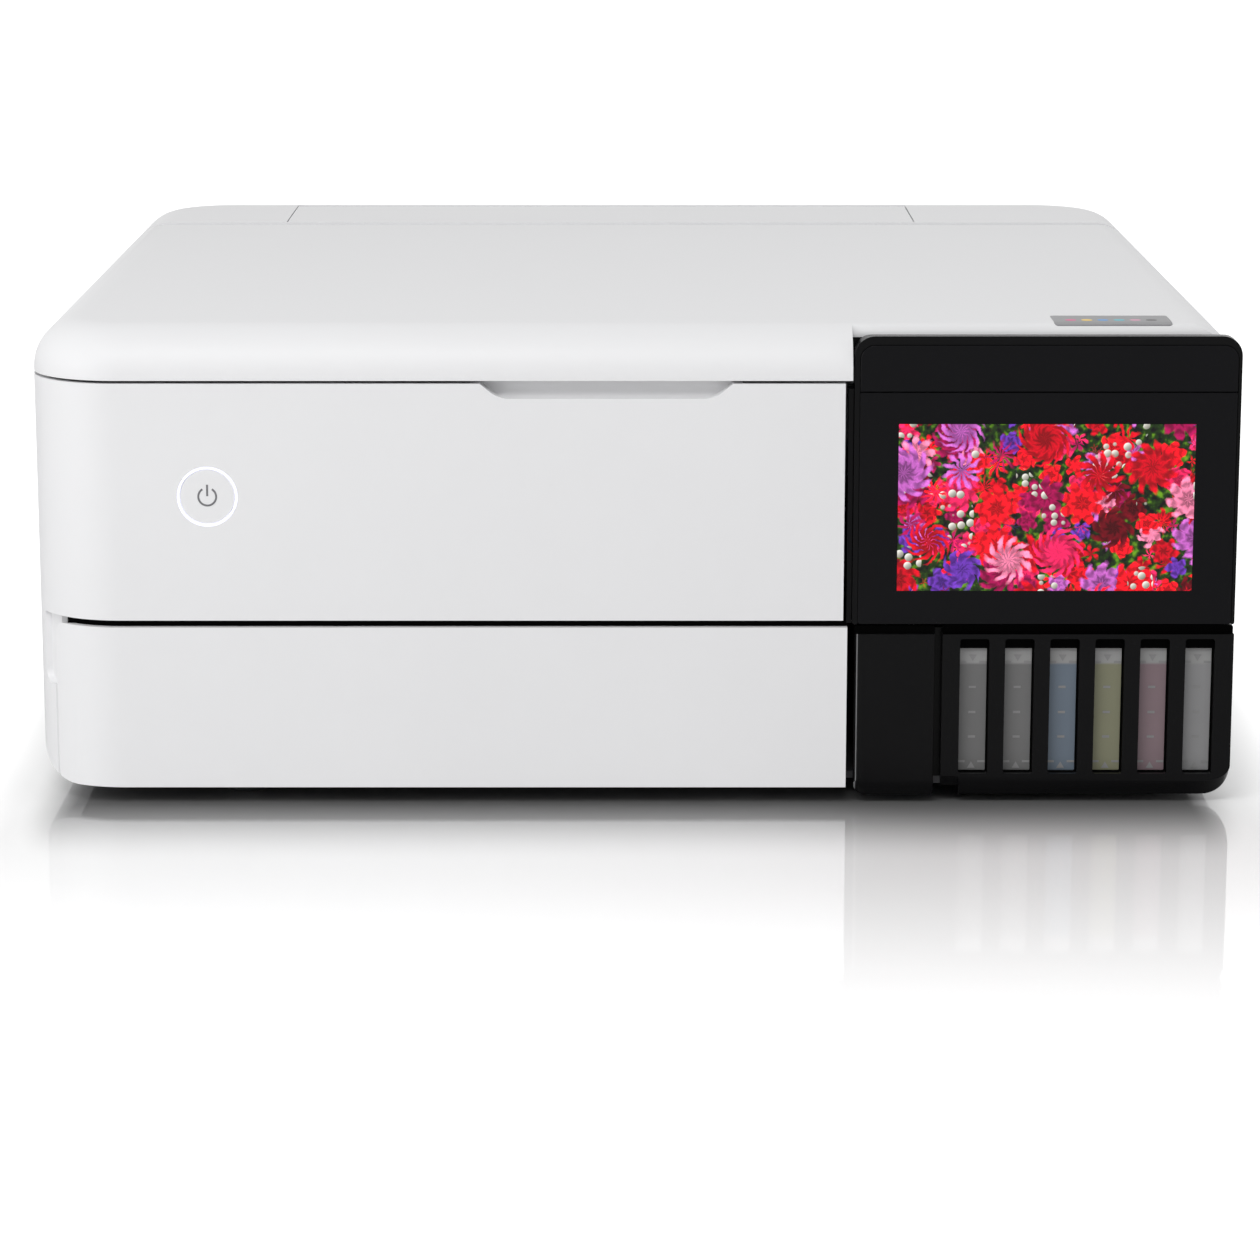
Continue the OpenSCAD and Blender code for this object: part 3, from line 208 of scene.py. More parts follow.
# %% Group: drawn metal
def make_drawn_lines():
    """Long fine lines of rolled or ground metal, running along X."""
    group, start, end = new_group(
        "drawn_lines",
        {"Lines": 3.0, "Low Roughness": 0.2, "High Roughness": 0.4, "Shade": 0.15},
        {"Height": "NodeSocketFloat", "Roughness": "NodeSocketFloat", "Shade": "NodeSocketFloat"},
    )
    coords = node(group, "ShaderNodeTexCoord", (-700, 200))
    stretch = node(group, "ShaderNodeMapping", (-500, 200))
    stretch.inputs["Scale"].default_value = (0.04, 1.0, 1.0)
    per_metre = node(group, "ShaderNodeMath", (-500, -100), operation="MULTIPLY")
    per_metre.inputs[1].default_value = 1.0 / MM
    noise = node(group, "ShaderNodeTexNoise", (-300, 200))
    noise.inputs["Detail"].default_value = 3.0
    group.links.new(coords.outputs["Object"], stretch.inputs["Vector"])
    group.links.new(stretch.outputs["Vector"], noise.inputs["Vector"])
    group.links.new(start.outputs["Lines"], per_metre.inputs[0])
    group.links.new(per_metre.outputs[0], noise.inputs["Scale"])
    sheen = between(group, noise.outputs["Fac"], start.outputs["Low Roughness"],
                    start.outputs["High Roughness"], (0, 0))
    darker = node(group, "ShaderNodeMath", (-200, -300), operation="SUBTRACT")
    darker.inputs[0].default_value = 1.0
    group.links.new(start.outputs["Shade"], darker.inputs[1])
    shade = between(group, noise.outputs["Fac"], darker.outputs[0], 1.0, (0, -300))
    group.links.new(noise.outputs["Fac"], end.inputs["Height"])
    group.links.new(sheen.outputs["Result"], end.inputs["Roughness"])
    group.links.new(shade.outputs["Result"], end.inputs["Shade"])
    return group


moulded_grain = make_moulded_grain()
drawn_lines = make_drawn_lines()
print("groups:", [g.name for g in bpy.data.node_groups])

# %% [markdown]
# ## Finishes
# One function makes each plastic: the group gives the grain, the drift of sheen and a shade that
# darkens the colour by a few per cent. White and black housings differ only in their numbers. The
# grain's depth is written in millimetres, so it stays the same on every piece.


# %% Finish maker
def tinted(tree, shade, colour, place):
    """Colour times a shade that changes over the surface."""
    mix = node(tree, "ShaderNodeMix", place, data_type="RGBA", blend_type="MULTIPLY")
    mix.inputs[0].default_value = 1.0
    mix.inputs["A"].default_value = (*colour, 1.0)
    tree.links.new(shade, mix.inputs["B"])
    return mix.outputs["Result"]


def finish(name, colour, group, depth, specular=0.5, metallic=0.0, coat=0.0, **numbers):
    """Material whose grain, sheen and shade come from a group. depth is the grain's depth in mm."""
    material = bpy.data.materials.new(name)
    material.use_nodes = True
    tree = material.node_tree
    shader = tree.nodes["Principled BSDF"]
    grain = node(tree, "ShaderNodeGroup", (-700, 0), node_tree=group)
    for title, value in numbers.items():
        grain.inputs[title.replace("_", " ").title()].default_value = value
    bump = node(tree, "ShaderNodeBump", (-300, -300))
    bump.inputs["Distance"].default_value = depth * MM
    tree.links.new(grain.outputs["Height"], bump.inputs["Height"])
    tree.links.new(bump.outputs["Normal"], shader.inputs["Normal"])
    tree.links.new(grain.outputs["Roughness"], shader.inputs["Roughness"])
    tree.links.new(tinted(tree, grain.outputs["Shade"], colour, (-300, 100)), shader.inputs["Base Color"])
    shader.inputs["Specular IOR Level"].default_value = specular
    shader.inputs["Metallic"].default_value = metallic
    shader.inputs["Coat Weight"].default_value = coat
    return material


# %% Plastics, rubber and metal
white_abs = finish("white_abs", (0.79, 0.79, 0.80), moulded_grain, 0.012, specular=0.35,
                   grain=2.2, drift=0.012, low_roughness=0.42, high_roughness=0.50, shade=0.02)
white_inner = finish("white_inner", (0.74, 0.74, 0.75), moulded_grain, 0.02, specular=0.3,
                     grain=1.6, drift=0.02, low_roughness=0.5, high_roughness=0.6, shade=0.03)
black_edge = finish("black_edge", (0.014, 0.014, 0.0145), moulded_grain, 0.002, specular=0.5,
                    grain=2.2, drift=0.02, low_roughness=0.14, high_roughness=0.2, shade=0.1)
# painted highlight: a lighter grey for the black bevels that face the left lamp
painted_highlight_grey = finish("painted_highlight_grey", (0.15, 0.15, 0.155), moulded_grain, 0.002, specular=0.5,
                    grain=2.2, drift=0.02, low_roughness=0.16, high_roughness=0.22, shade=0.1)
# painted shade: near-black for faces that lie in shadow, in the window pockets, the top grooves and the lip behind the
# lower cover's gap
painted_shade_black = finish("painted_shade_black", (0.0006, 0.0006, 0.0006), moulded_grain, 0.002, specular=0.02,
                      grain=2.2, drift=0.02, low_roughness=0.5, high_roughness=0.6, shade=0.1)
black_abs = finish("black_abs", (0.004, 0.004, 0.0044), moulded_grain, 0.006, specular=0.09,
                   grain=2.2, drift=0.02, low_roughness=0.20, high_roughness=0.27, shade=0.15)
black_glass = finish("black_glass", (0.006, 0.006, 0.007), moulded_grain, 0.001, specular=0.07,
                     grain=0.3, drift=0.03, low_roughness=0.05, high_roughness=0.11, shade=0.10)
dark_abs = finish("dark_abs", (0.055, 0.055, 0.060), moulded_grain, 0.02,
                  grain=1.5, drift=0.02, low_roughness=0.48, high_roughness=0.62, shade=0.12)
grey_abs = finish("grey_abs", (0.30, 0.30, 0.31), moulded_grain, 0.015,
                  grain=1.8, drift=0.02, low_roughness=0.42, high_roughness=0.55, shade=0.06)
rubber = finish("rubber", (0.030, 0.030, 0.031), moulded_grain, 0.03, specular=0.3,
                grain=3.0, drift=0.05, low_roughness=0.7, high_roughness=0.85, shade=0.2)
steel = finish("steel", (0.62, 0.63, 0.65), drawn_lines, 0.004, metallic=1.0,
               lines=2.5, low_roughness=0.24, high_roughness=0.38, shade=0.10)
motor_steel = finish("motor_steel", (0.42, 0.42, 0.44), drawn_lines, 0.006, metallic=1.0,
                     lines=1.2, low_roughness=0.32, high_roughness=0.46, shade=0.12)
mat_white = finish("mat_white", (0.84, 0.84, 0.83), moulded_grain, 0.03, specular=0.2,
                   grain=1.2, drift=0.02, low_roughness=0.65, high_roughness=0.75, shade=0.02)
print("finishes:", len(bpy.data.materials))

# %% [markdown]
# ## How the shells are made
# A housing is an outline, drawn as a face with one vertex per corner. Each corner is rounded with a
# vertex bevel, the face is extruded, and such prisms are cut from each other or kept where they meet.
# Last, every sharp edge gets a small bevel: no moulded edge is a knife, and it is this thin rounding
# that catches the light along a real printer's seams.

# %% Prisms from outlines
AXES = {"x": (1, 2, 0), "y": (0, 2, 1), "z": (0, 1, 2)}
ARC_SEGMENTS = 10
objects = bpy.context.scene.collection.objects


def write_mesh(bm, name):
    """A new object at the origin from a bmesh in millimetres, with its faces turned outwards."""
    bmesh.ops.recalc_face_normals(bm, faces=bm.faces)
    bmesh.ops.scale(bm, vec=(MM, MM, MM), verts=bm.verts)
    mesh = bpy.data.meshes.new(name)
    bm.to_mesh(mesh)
    bm.free()
    made = bpy.data.objects.new(name, mesh)
    objects.link(made)
    return made


def prism_bmesh(corners, axis, start, end, segments=ARC_SEGMENTS):
    """Prism along an axis. A corner is (a, b) or (a, b, radius), in the plane across that axis."""
    bm = bmesh.new()
    across_a, across_b, along = AXES[axis]
    rounded = []
    points = []
    for corner in corners:
        place = Vector((0.0, 0.0, 0.0))
        place[across_a], place[across_b], place[along] = corner[0], corner[1], start
        vertex = bm.verts.new(place)
        points.append(vertex)
        if len(corner) > 2 and corner[2] > 0:
            rounded.append((vertex, corner[2]))
    bm.faces.new(points)
    for vertex, radius in rounded:
        bmesh.ops.bevel(bm, geom=[vertex], offset=radius, offset_type="OFFSET", segments=segments,
                        profile=0.5, affect="VERTICES", material=-1)
    span = Vector((0.0, 0.0, 0.0))
    span[along] = end - start
    grown = bmesh.ops.extrude_face_region(bm, geom=bm.faces[:])
    bmesh.ops.translate(bm, vec=span, verts=[v for v in grown["geom"] if isinstance(v, bmesh.types.BMVert)])
    bmesh.ops.recalc_face_normals(bm, faces=bm.faces)
    return bm


def prism(name, corners, axis, start, end, segments=ARC_SEGMENTS):
    return write_mesh(prism_bmesh(corners, axis, start, end, segments), name)


def block(name, low, high):
    """Box from its lowest to its highest corner."""
    bm = bmesh.new()
    bmesh.ops.create_cube(bm, size=1.0)
    low, high = Vector(low), Vector(high)
    bmesh.ops.scale(bm, vec=high - low, verts=bm.verts)
    bmesh.ops.translate(bm, vec=(low + high) / 2, verts=bm.verts)
    return write_mesh(bm, name)


def disc(name, middle, radius, axis, start, end, sides=48, end_radius=None):
    """Cylinder or cone along an axis, round a middle point (a, b) in the plane across it."""
    bm = bmesh.new()
    bmesh.ops.create_cone(bm, cap_ends=True, segments=sides, radius1=radius,
                          radius2=radius if end_radius is None else end_radius, depth=abs(end - start))
    turn = {"x": Matrix.Rotation(math.radians(90), 3, "Y"), "y": Matrix.Rotation(math.radians(-90), 3, "X"),
            "z": Matrix.Identity(3)}[axis]
    bmesh.ops.rotate(bm, cent=(0, 0, 0), matrix=turn, verts=bm.verts)
    across_a, across_b, along = AXES[axis]
    place = Vector((0.0, 0.0, 0.0))
    place[across_a], place[across_b], place[along] = middle[0], middle[1], (start + end) / 2
    bmesh.ops.translate(bm, vec=place, verts=bm.verts)
    return write_mesh(bm, name)


# %% [markdown]
# A Boolean modifier cuts one closed prism from another, and its result is kept at once. The cutting
# solid is thrown away.


# %% Cutting and joining
def settle(piece):
    """Keeps what the piece's modifiers make of its mesh, and takes them off."""
    graph = bpy.context.evaluated_depsgraph_get()
    made = bpy.data.meshes.new_from_object(piece.evaluated_get(graph))
    piece.modifiers.clear()
    old = piece.data
    piece.data = made
    bpy.data.meshes.remove(old)
    return piece


def combine(piece, tools, operation):
    """Cuts the tools out of the piece, adds them to it, or keeps what lies in both."""
    for tool in tools:
        modifier = piece.modifiers.new("combine", "BOOLEAN")
        modifier.operation = operation
        modifier.solver = "EXACT"
        modifier.object = tool
        settle(piece)
        bpy.data.objects.remove(tool)
    return piece


def cut(piece, *tools):
    return combine(piece, tools, "DIFFERENCE")


def add(piece, *tools):
    return combine(piece, tools, "UNION")


def common(piece, *tools):
    return combine(piece, tools, "INTERSECT")


# %% [markdown]
# After the cuts the mesh is merged and flat faces become one face each. Then the edges that turn by
# more than the given angle are bevelled. A weighted normal keeps the large faces flat in shading, so
# only the bevels look round.

# %% Small bevels and placing
MERGE = 0.002
SHARP = 30.0


def tidy_bmesh(bm):
    """Merges doubles and makes flat regions one face each, in millimetres."""
    bmesh.ops.remove_doubles(bm, verts=bm.verts, dist=MERGE)
    bmesh.ops.dissolve_degenerate(bm, edges=bm.edges, dist=MERGE)
    bmesh.ops.dissolve_limit(bm, angle_limit=math.radians(0.4), verts=bm.verts, edges=bm.edges)


def soften(piece, width, segments=2, sharp=SHARP, bevel_slot=-1):
    """Bevels the piece's sharp edges by width in millimetres."""
    bm = bmesh.new()
    bm.from_mesh(piece.data)
    bmesh.ops.scale(bm, vec=(1 / MM, 1 / MM, 1 / MM), verts=bm.verts)
    tidy_bmesh(bm)
    if width > 0:
        edges = [e for e in bm.edges
                 if len(e.link_faces) == 2 and e.calc_face_angle(0.0) > math.radians(sharp)]
        bmesh.ops.bevel(bm, geom=edges, offset=width, offset_type="OFFSET", segments=segments,
                        profile=0.5, affect="EDGES", clamp_overlap=True, material=bevel_slot)
        bmesh.ops.remove_doubles(bm, verts=bm.verts, dist=MERGE)
    bmesh.ops.scale(bm, vec=(MM, MM, MM), verts=bm.verts)
    bm.to_mesh(piece.data)
    bm.free()
    return piece


def smooth(piece, angle=SHARP):
    """Smooth shading with flat large faces."""
    mesh = piece.data
    mesh.shade_smooth()
    mesh.set_sharp_from_angle(angle=math.radians(angle))
    weighted = piece.modifiers.new("flat faces", "WEIGHTED_NORMAL")
    weighted.keep_sharp = True
    return piece


def sheen(piece):
    """Painted highlight: the bevels, and the band of a rounded edge, that face the light from the left get a lighter
    grey material, which stands in for that light's shine on black plastic.
    """
    piece.data.materials.append(painted_highlight_grey)
    for polygon in piece.data.polygons:
        across, ahead = -polygon.normal.x, -polygon.normal.y
        on_bevel = polygon.material_index == 1 and across > 0.25 and ahead > 0.25
        if on_bevel or (0.48 < across < 0.72 and ahead > 0.5):
            polygon.material_index = 2


def place(piece, name, body, slot, material, replaces=(), width=0.0, segments=2, sharp=SHARP, edge=None):
    """Finishes a piece: name, bevels, shading, material, body, and the nodes it stands for. slot is not used."""
    piece.name = name
    piece.data.materials.clear()
    piece.data.materials.append(material)
    if edge:
        piece.data.materials.append(edge)
    soften(piece, width, segments, sharp, 1 if edge else -1)
    # on black pieces with an edge material, the bevels that face the left lamp also get a painted highlight
    if edge:
        sheen(piece)
    smooth(piece)
    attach(piece, body)
    if replaces:
        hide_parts(*replaces)
    return piece


# %% [markdown]
# ## The body as one block
# All the white shells are cut from one body: an outline seen from above, with a wide front left corner
# and wide rear corners, kept where it meets an outline seen from the front, whose lower edges are
# round. The same two outlines, set in by the wall, hollow it.


# %% Body block
def body_block(inset, z_top):
    """The body up to a height, set in by inset."""
    x0, x1, y0, y1 = left + inset, right - inset, front + inset, rear - inset
    plan = prism("plan", [(x0, y0, front_r - inset), (x1, y0, max(side_r - inset, 0.5)),
                          (x1, y1, rear_r - inset), (x0, y1, rear_r - inset)], "z", foot_h, z_top + 5, 14)
    z0 = foot_h + inset
    face = prism("face", [(x0, z0, lower_left_r - inset), (x1, z0, lower_right_r - inset),
                          (x1, z_top), (x0, z_top)], "y", front - 5, rear + 5)
    return common(plan, face)


def body_skin(z_top, skin=wall):
    """A hollow body, open at its top."""
    return cut(body_block(0.0, z_top), body_block(skin, z_top + 1))



# %% [markdown]
# ## The lid
# The scanner lid is the printer's whole top. Its upper edge is rolled over by a generous radius on
# three sides, and its rear edge is rolled round the hinge. It starts as the plan outline, its top
# edges are bevelled into the crown, and the crown is cut off at the rear, where a roll round the hinge
# and a sloped heel below it are cut. A corner is taken out for the control panel, and the underside is recessed for the
# mat.

# %% Crowned block
CROWN_SEGMENTS = 14


def crowned_block(z0, inset=0.0, corner_segments=18):
    """The body's whole top from a height up, with its crowned edge, set in by inset."""
    x0, x1, y0, y1 = left + inset, right - inset, front + inset, rear - inset
    corners = [(x0, y0, front_r - inset), (x1, y0, crown_r + 0.5 - inset),
               (x1, y1, rear_r - inset), (x0, y1, rear_r - inset)]
    bm = prism_bmesh(corners, "z", z0, top - inset, corner_segments)
    rim = [e for e in bm.edges if all(v.co.z > top - inset - MERGE for v in e.verts)]
    bmesh.ops.bevel(bm, geom=rim, offset=crown_r - inset, offset_type="OFFSET", segments=CROWN_SEGMENTS,
                    profile=0.5, affect="EDGES", material=-1)
    return bm


def sliced(bm, place_y, keep_front):
    """Cuts a bmesh along a plane across Y, keeps one side and closes the cut."""
    cut_edges = bmesh.ops.bisect_plane(bm, geom=bm.verts[:] + bm.edges[:] + bm.faces[:],
                                       plane_co=(0, place_y, 0), plane_no=(0, 1, 0), dist=MERGE,
                                       clear_outer=keep_front, clear_inner=not keep_front)
    loop = [e for e in cut_edges["geom_cut"] if isinstance(e, bmesh.types.BMEdge)]
    bmesh.ops.contextual_create(bm, geom=loop)
    bmesh.ops.recalc_face_normals(bm, faces=bm.faces)


# %% Lid shell
roll_r = 7.5
lid_bm = crowned_block(lid_low.z)
sliced(lid_bm, lid_high.y, keep_front=True)
lid = write_mesh(lid_bm, "scanner_lid")
hinge_axis_y, hinge_axis_z = lid_high.y - roll_r, lid_high.z - roll_r
heel_y, heel_rise = hinge_axis_y + 3.9, 2.3
cut(lid, cut(block("rear room", (left - 1, hinge_axis_y, hinge_axis_z), (right + 1, lid_high.y + 1, top + 1)),
             disc("rear roll", (hinge_axis_y, hinge_axis_z), roll_r, "x", left - 2, right + 2, 64)),
    prism("heel", [(heel_y, lid_low.z - 1), (heel_y, lid_low.z), (lid_high.y, lid_low.z + heel_rise),
                   (lid_high.y + 1, lid_low.z + heel_rise + 0.64), (lid_high.y + 1, lid_low.z - 1)],
          "x", left - 1, right + 1))
panel_corner = module_low.x - 1.5, front + 10.5
cut(lid, block("cutter", (panel_corner[0], front - 5, lid_low.z - 5), (right + 5, panel_corner[1], top + 5)))

# the wall of that corner rolls over into the top, so it meets the panel's black frame softly
ROLL_IN = 4.0
roll_room = cut(block("roll room", (panel_corner[0] - 1, panel_corner[1] - 1, top - ROLL_IN),
                      (right + 5, panel_corner[1] + ROLL_IN, top + 3)),
                disc("roll", (panel_corner[1] + ROLL_IN, top - ROLL_IN), ROLL_IN, "x", left, right + 10, 48))
roll_side = block("roll side", (panel_corner[0] - 2, panel_corner[1] - 2, top - ROLL_IN - 1),
                  (panel_corner[0], panel_corner[1] + ROLL_IN + 1, top + 4))
cut(lid, cut(roll_room, roll_side))
print("lid faces:", len(lid.data.polygons))

# %% [markdown]
# The lid turns on two pins at its rear. Two lugs reach down into a trough, where the hinge arms come
# up between them, and the trough's inner wall follows the roll of the lid's rear edge.

# %% Hinge trough and lugs
hinge_half = 150.0
trough_front, trough_r = hinge_axis_y - 15.5, 5.0
cut(lid, block("trough", (-192, trough_front, lid_low.z - 1), (192, hinge_axis_y, hinge_axis_z + trough_r)),
    block("trough rear", (-192, hinge_axis_y - 1, lid_low.z - 1), (192, hinge_axis_y + trough_r, hinge_axis_z)),
    disc("trough roll", (hinge_axis_y, hinge_axis_z), trough_r, "x", -192, 192, 40))
cut(lid, block("rear trim", (-163, hinge_axis_y + 4.5, lid_low.z - 1), (163, lid_high.y + 1, lid_low.z + 2.7)))
for side in (-1, 1):
    cut(lid, block("arm notch", (side * hinge_half - 5, hinge_axis_y + 2, lid_low.z - 1),
                   (side * hinge_half + 5, lid_high.y + 1, hinge_axis_z - 0.7)))
    lug_x = side * hinge_half - 11.0
    lug = add(block("lug", (lug_x, hinge_axis_y - 4.5, hinge_axis_z), (lug_x + 6.5, hinge_axis_y + 2, top - 1.6)),
              disc("lug end", (hinge_axis_y, hinge_axis_z), 4.5, "x", lug_x, lug_x + 6.5, 32))
    cut(lug, disc("lug bore", (hinge_axis_y, hinge_axis_z), 2.55, "x", lug_x - 1, lug_x + 8, 24))
    add(lid, lug)

# %% [markdown]
# The underside has a shallow recess for the white mat, which presses the original onto the glass.

# %% Lid underside
mat_low, mat_high = reach("document_mat")
mat_room = mat_low.x - 2, mat_high.x + 2, mat_low.y - 2, mat_high.y + 1
cut(lid, block("mat room", (mat_room[0], mat_room[2], lid_low.z - 1), (mat_room[1], mat_room[3], mat_high.z)))
PLATE = (140.5, 179.7, front + 12.0, front + 30.4)


def crown_skin(depth, rise=0.0):
    """Shell of the lid's crowned top, from a rise above it down to a depth."""
    return cut(write_mesh(crowned_block(lid_low.z, inset=-rise), "skin"),
               write_mesh(crowned_block(lid_low.z - 1, inset=depth), "skin room"))


def plate_area(grow):
    """Upright prism over the plate's outline, grown a little."""
    x0, x1, y0, y1 = PLATE[0] - grow, PLATE[1] + grow, PLATE[2] - grow, PLATE[3] + grow
    return prism("plate area", [(x0, y0, 1.2), (x1, y0, 1.2), (x1, y1, 1.2), (x0, y1, 1.2)], "z", top - 9, top + 1, 6)


cut(lid, common(plate_area(0.06), crown_skin(0.5)))
place(lid, "scanner_lid", "document_cover", "white_shell", white_abs, replaces=["document_cover"], width=0.5)

# %% [markdown]
# A thin black strip lines the corner behind the panel, so no white wall shows through the gap. On the
# lid's right a small grey plate is inlaid, with a row of coloured dots, one for each ink.

# %% Corner lining
lining_top = top - 4.4
lining = common(block("lining", (panel_corner[0] + 0.2, panel_corner[1] - 0.4, lid_low.z + 0.3),
                      (right + 1, panel_corner[1] + 0.2, lining_top)),
                write_mesh(crowned_block(lid_low.z + 0.3, inset=0.4), "lining outline"))
place(lining, "corner_lining", "document_cover", "black_shell", black_abs, width=0.2)

# %% Lid plate
plate_piece = common(plate_area(0.0), crown_skin(0.45, -0.04))
plate_grey = finish("plate_grey", (0.24, 0.24, 0.25), drawn_lines, 0.002, specular=0.4,
                    lines=2.0, low_roughness=0.35, high_roughness=0.45, shade=0.10)
place(plate_piece, "lid_plate", "document_cover", "grey_plastic", plate_grey, width=0.1)
DOTS = [(0.62, 0.03, 0.20), (0.85, 0.55, 0.03), (0.03, 0.25, 0.60), (0.03, 0.42, 0.50), (0.60, 0.25, 0.38), (0.02, 0.02, 0.02)]
for number, colour in enumerate(DOTS, start=1):
    dot_x = PLATE[0] + 6.0 + (number - 1) * 5.4
    dot = common(disc("dot", (dot_x, PLATE[2] + 8.0), 1.9, "z", top - 8, top + 1, 32), crown_skin(0.4))
    dot_ink = finish("dot_%d" % number, colour, moulded_grain, 0.002, specular=0.4, low_roughness=0.3, high_roughness=0.4)
    place(dot, "plate_dot_%d" % number, "document_cover", "grey_plastic", dot_ink, width=0.05)

# %% [markdown]
# ## White housings
# The front fascia, the two sides and the rear are cut from one skin. The fascia carries the scoop
# under the lid's edge, where a finger lifts it: its floor curves up into a steep back wall in the lid's
# shade. Beside it is the round hole for the power button.

# %% Front fascia
fascia_x = fascia_high.x - 0.9
fascia_z = fascia_low.z
wrap = 11.0
fascia = common(body_skin(seam_z),
                add(block("front part", (left - 1, front - 1, fascia_z), (fascia_x, front + front_r + 1, seam_z)),
                    block("side", (left - 1, front + front_r, 0), (left + lower_left_r, rear - rear_r, seam_z)),
                    block("low", (left - 1, front + wrap + 0.4, 0), (left + lower_left_r, front + front_r + 1, fascia_z + 1))))

scoop_mid, scoop_half, scoop_h, scoop_in = -8.5, 42.1, 5.0, 8.0
scoop_lip = scoop_half - 6.4
pad = block("pad", (scoop_mid - scoop_half - 3, front + wall - 0.3, seam_z - 9),
            (scoop_mid + scoop_half + 3, front + scoop_in + 2, seam_z))
add(fascia, pad)
mouth = prism("mouth", [(scoop_mid - scoop_half - 0.6, seam_z + 2), (scoop_mid - scoop_half - 0.6, seam_z + 0.6),
                        (scoop_mid - scoop_lip, seam_z - scoop_h, 3.4),
                        (scoop_mid + scoop_lip, seam_z - scoop_h, 3.4),
                        (scoop_mid + scoop_half + 0.6, seam_z + 0.6), (scoop_mid + scoop_half + 0.6, seam_z + 2)],
              "y", front - 2, front + scoop_in, 8)
scoop_floor = prism("scoop floor", [(front - 3, seam_z + 4), (front - 3, seam_z - scoop_h - 0.3),
                                    (front + 6.6, seam_z - scoop_h + 0.5, 3.0), (front + 7.2, seam_z + 4)],
                    "x", scoop_mid - scoop_half - 2, scoop_mid + scoop_half + 2, 8)
cut(fascia, common(mouth, scoop_floor))

button_low, button_high = reach("power_button")
button_x, button_z = (button_low.x + button_high.x) / 2, (button_low.z + button_high.z) / 2
button_r, ring_r = (button_high.x - button_low.x) / 2, reach("power_light_ring")[1].x - button_x
boss = disc("boss", (button_x, button_z), ring_r + 2, "y", front + wall - 0.3, front + 11)
add(fascia, boss)
cut(fascia, disc("hole", (button_x, button_z), ring_r + 0.05, "y", front - 2, front + 9.5, 64))


# %% [markdown]
# On the left side, behind the lower cover's end, a shallow white dish lets a finger pull the cover.

# %% Finger dish
DISH_DEPTH = 2.0
DISH_H, DISH_IN = 24.5, 6.5


def dish(grow=0.0):
    """Outline of the finger dish seen from the side."""
    y0, y1 = front + wrap - 3.0, front + wrap + DISH_IN + grow
    z0, z1 = fascia_z - DISH_H - grow, fascia_z + grow
    return [(y0, z0), (y1, z0, 4.5), (y1, z1, 1.6), (y0, z1)]


def dish_cutter():
    band = prism("band", dish(), "x", left - 2, left + lower_left_r)
    return cut(band, body_block(DISH_DEPTH, seam_z))


def dish_floor(z_low, z_high):
    """Skin behind the dish, from one height to another."""
    floor_skin = cut(body_block(DISH_DEPTH, seam_z), body_block(DISH_DEPTH + wall, seam_z + 1))
    return common(floor_skin, block("cutter", (left - 1, front + wrap + 0.4, z_low),
                                    (left + lower_left_r, front + wrap + 13.0, z_high)))


add(fascia, dish_floor(fascia_z - DISH_H - 2, fascia_z + 1))
cut(fascia, dish_cutter())
place(fascia, "fascia", "chassis", "white_shell", white_abs, replaces=["front_fascia", "left_housing"], width=0.4)

# %% Right and rear housings
side_right = common(body_skin(seam_z), block("cutter", (right - lower_right_r, reach("right_housing")[0].y, 0),
                                             (right + 1, rear - rear_r, seam_z)))
place(side_right, "right_side", "chassis", "white_shell", white_abs, replaces=["right_housing"], width=0.35)
print("housings done")

# %% [markdown]
# The rear housing has openings for the mains inlet, the two sockets, the maintenance box and the six
# screws, each countersunk. The openings are a little larger than what stands in them.

# %% Rear housing
screw_places = [(-120, 112), (0, 125), (110, 112), (-60, 25), (20, 25), (90, 25)]
screw_r, screw_head_r, screw_head_h = 1.5, 3.0, 1.2


def window_for(node_name, gap, depth):
    """Block round a node's box where it passes the rear wall."""
    low, high = reach(node_name)
    return block("window", (low.x - gap, rear - depth, low.z - gap), (high.x + gap, rear + 1, high.z + gap))


side_rear = common(body_skin(seam_z), block("cutter", (left - 1, rear - rear_r + 0.2, 0), (right + 1, rear + 1, seam_z)))
cut(side_rear, window_for("mains_inlet", 0.1, wall + 1), window_for("rear_ports", 0.3, wall + 1),
    window_for("maintenance_box", 0.5, wall + 1))
for screw_x, screw_z in screw_places:
    cut(side_rear, disc("bore", (screw_x, screw_z), screw_r + 0.1, "y", rear - wall - 1, rear + 1, 24),
        disc("sink", (screw_x, screw_z), screw_head_r + 0.1, "y", rear - screw_head_h, rear + 1, 24))
place(side_rear, "rear_side", "chassis", "white_shell", white_abs, replaces=["rear_housing"], width=0.35)

# %% [markdown]
# The lower cover wraps round the left corner. Its free rear edge is round enough for a fingertip, and
# its lower edge is rolled. It stands on two hinge eyes at the cassette's front.

# %% Lower cover
cover_t = 3.0
cover_pin = front + 6.0, 9.5
paper_left, paper_right = reach("feed_roller")[0].x, reach("feed_roller")[1].x
cassette_low, cassette_high = reach("paper_cassette")
hinge_places = [cassette_low.x + 30.5, cassette_high.x - 26.5]

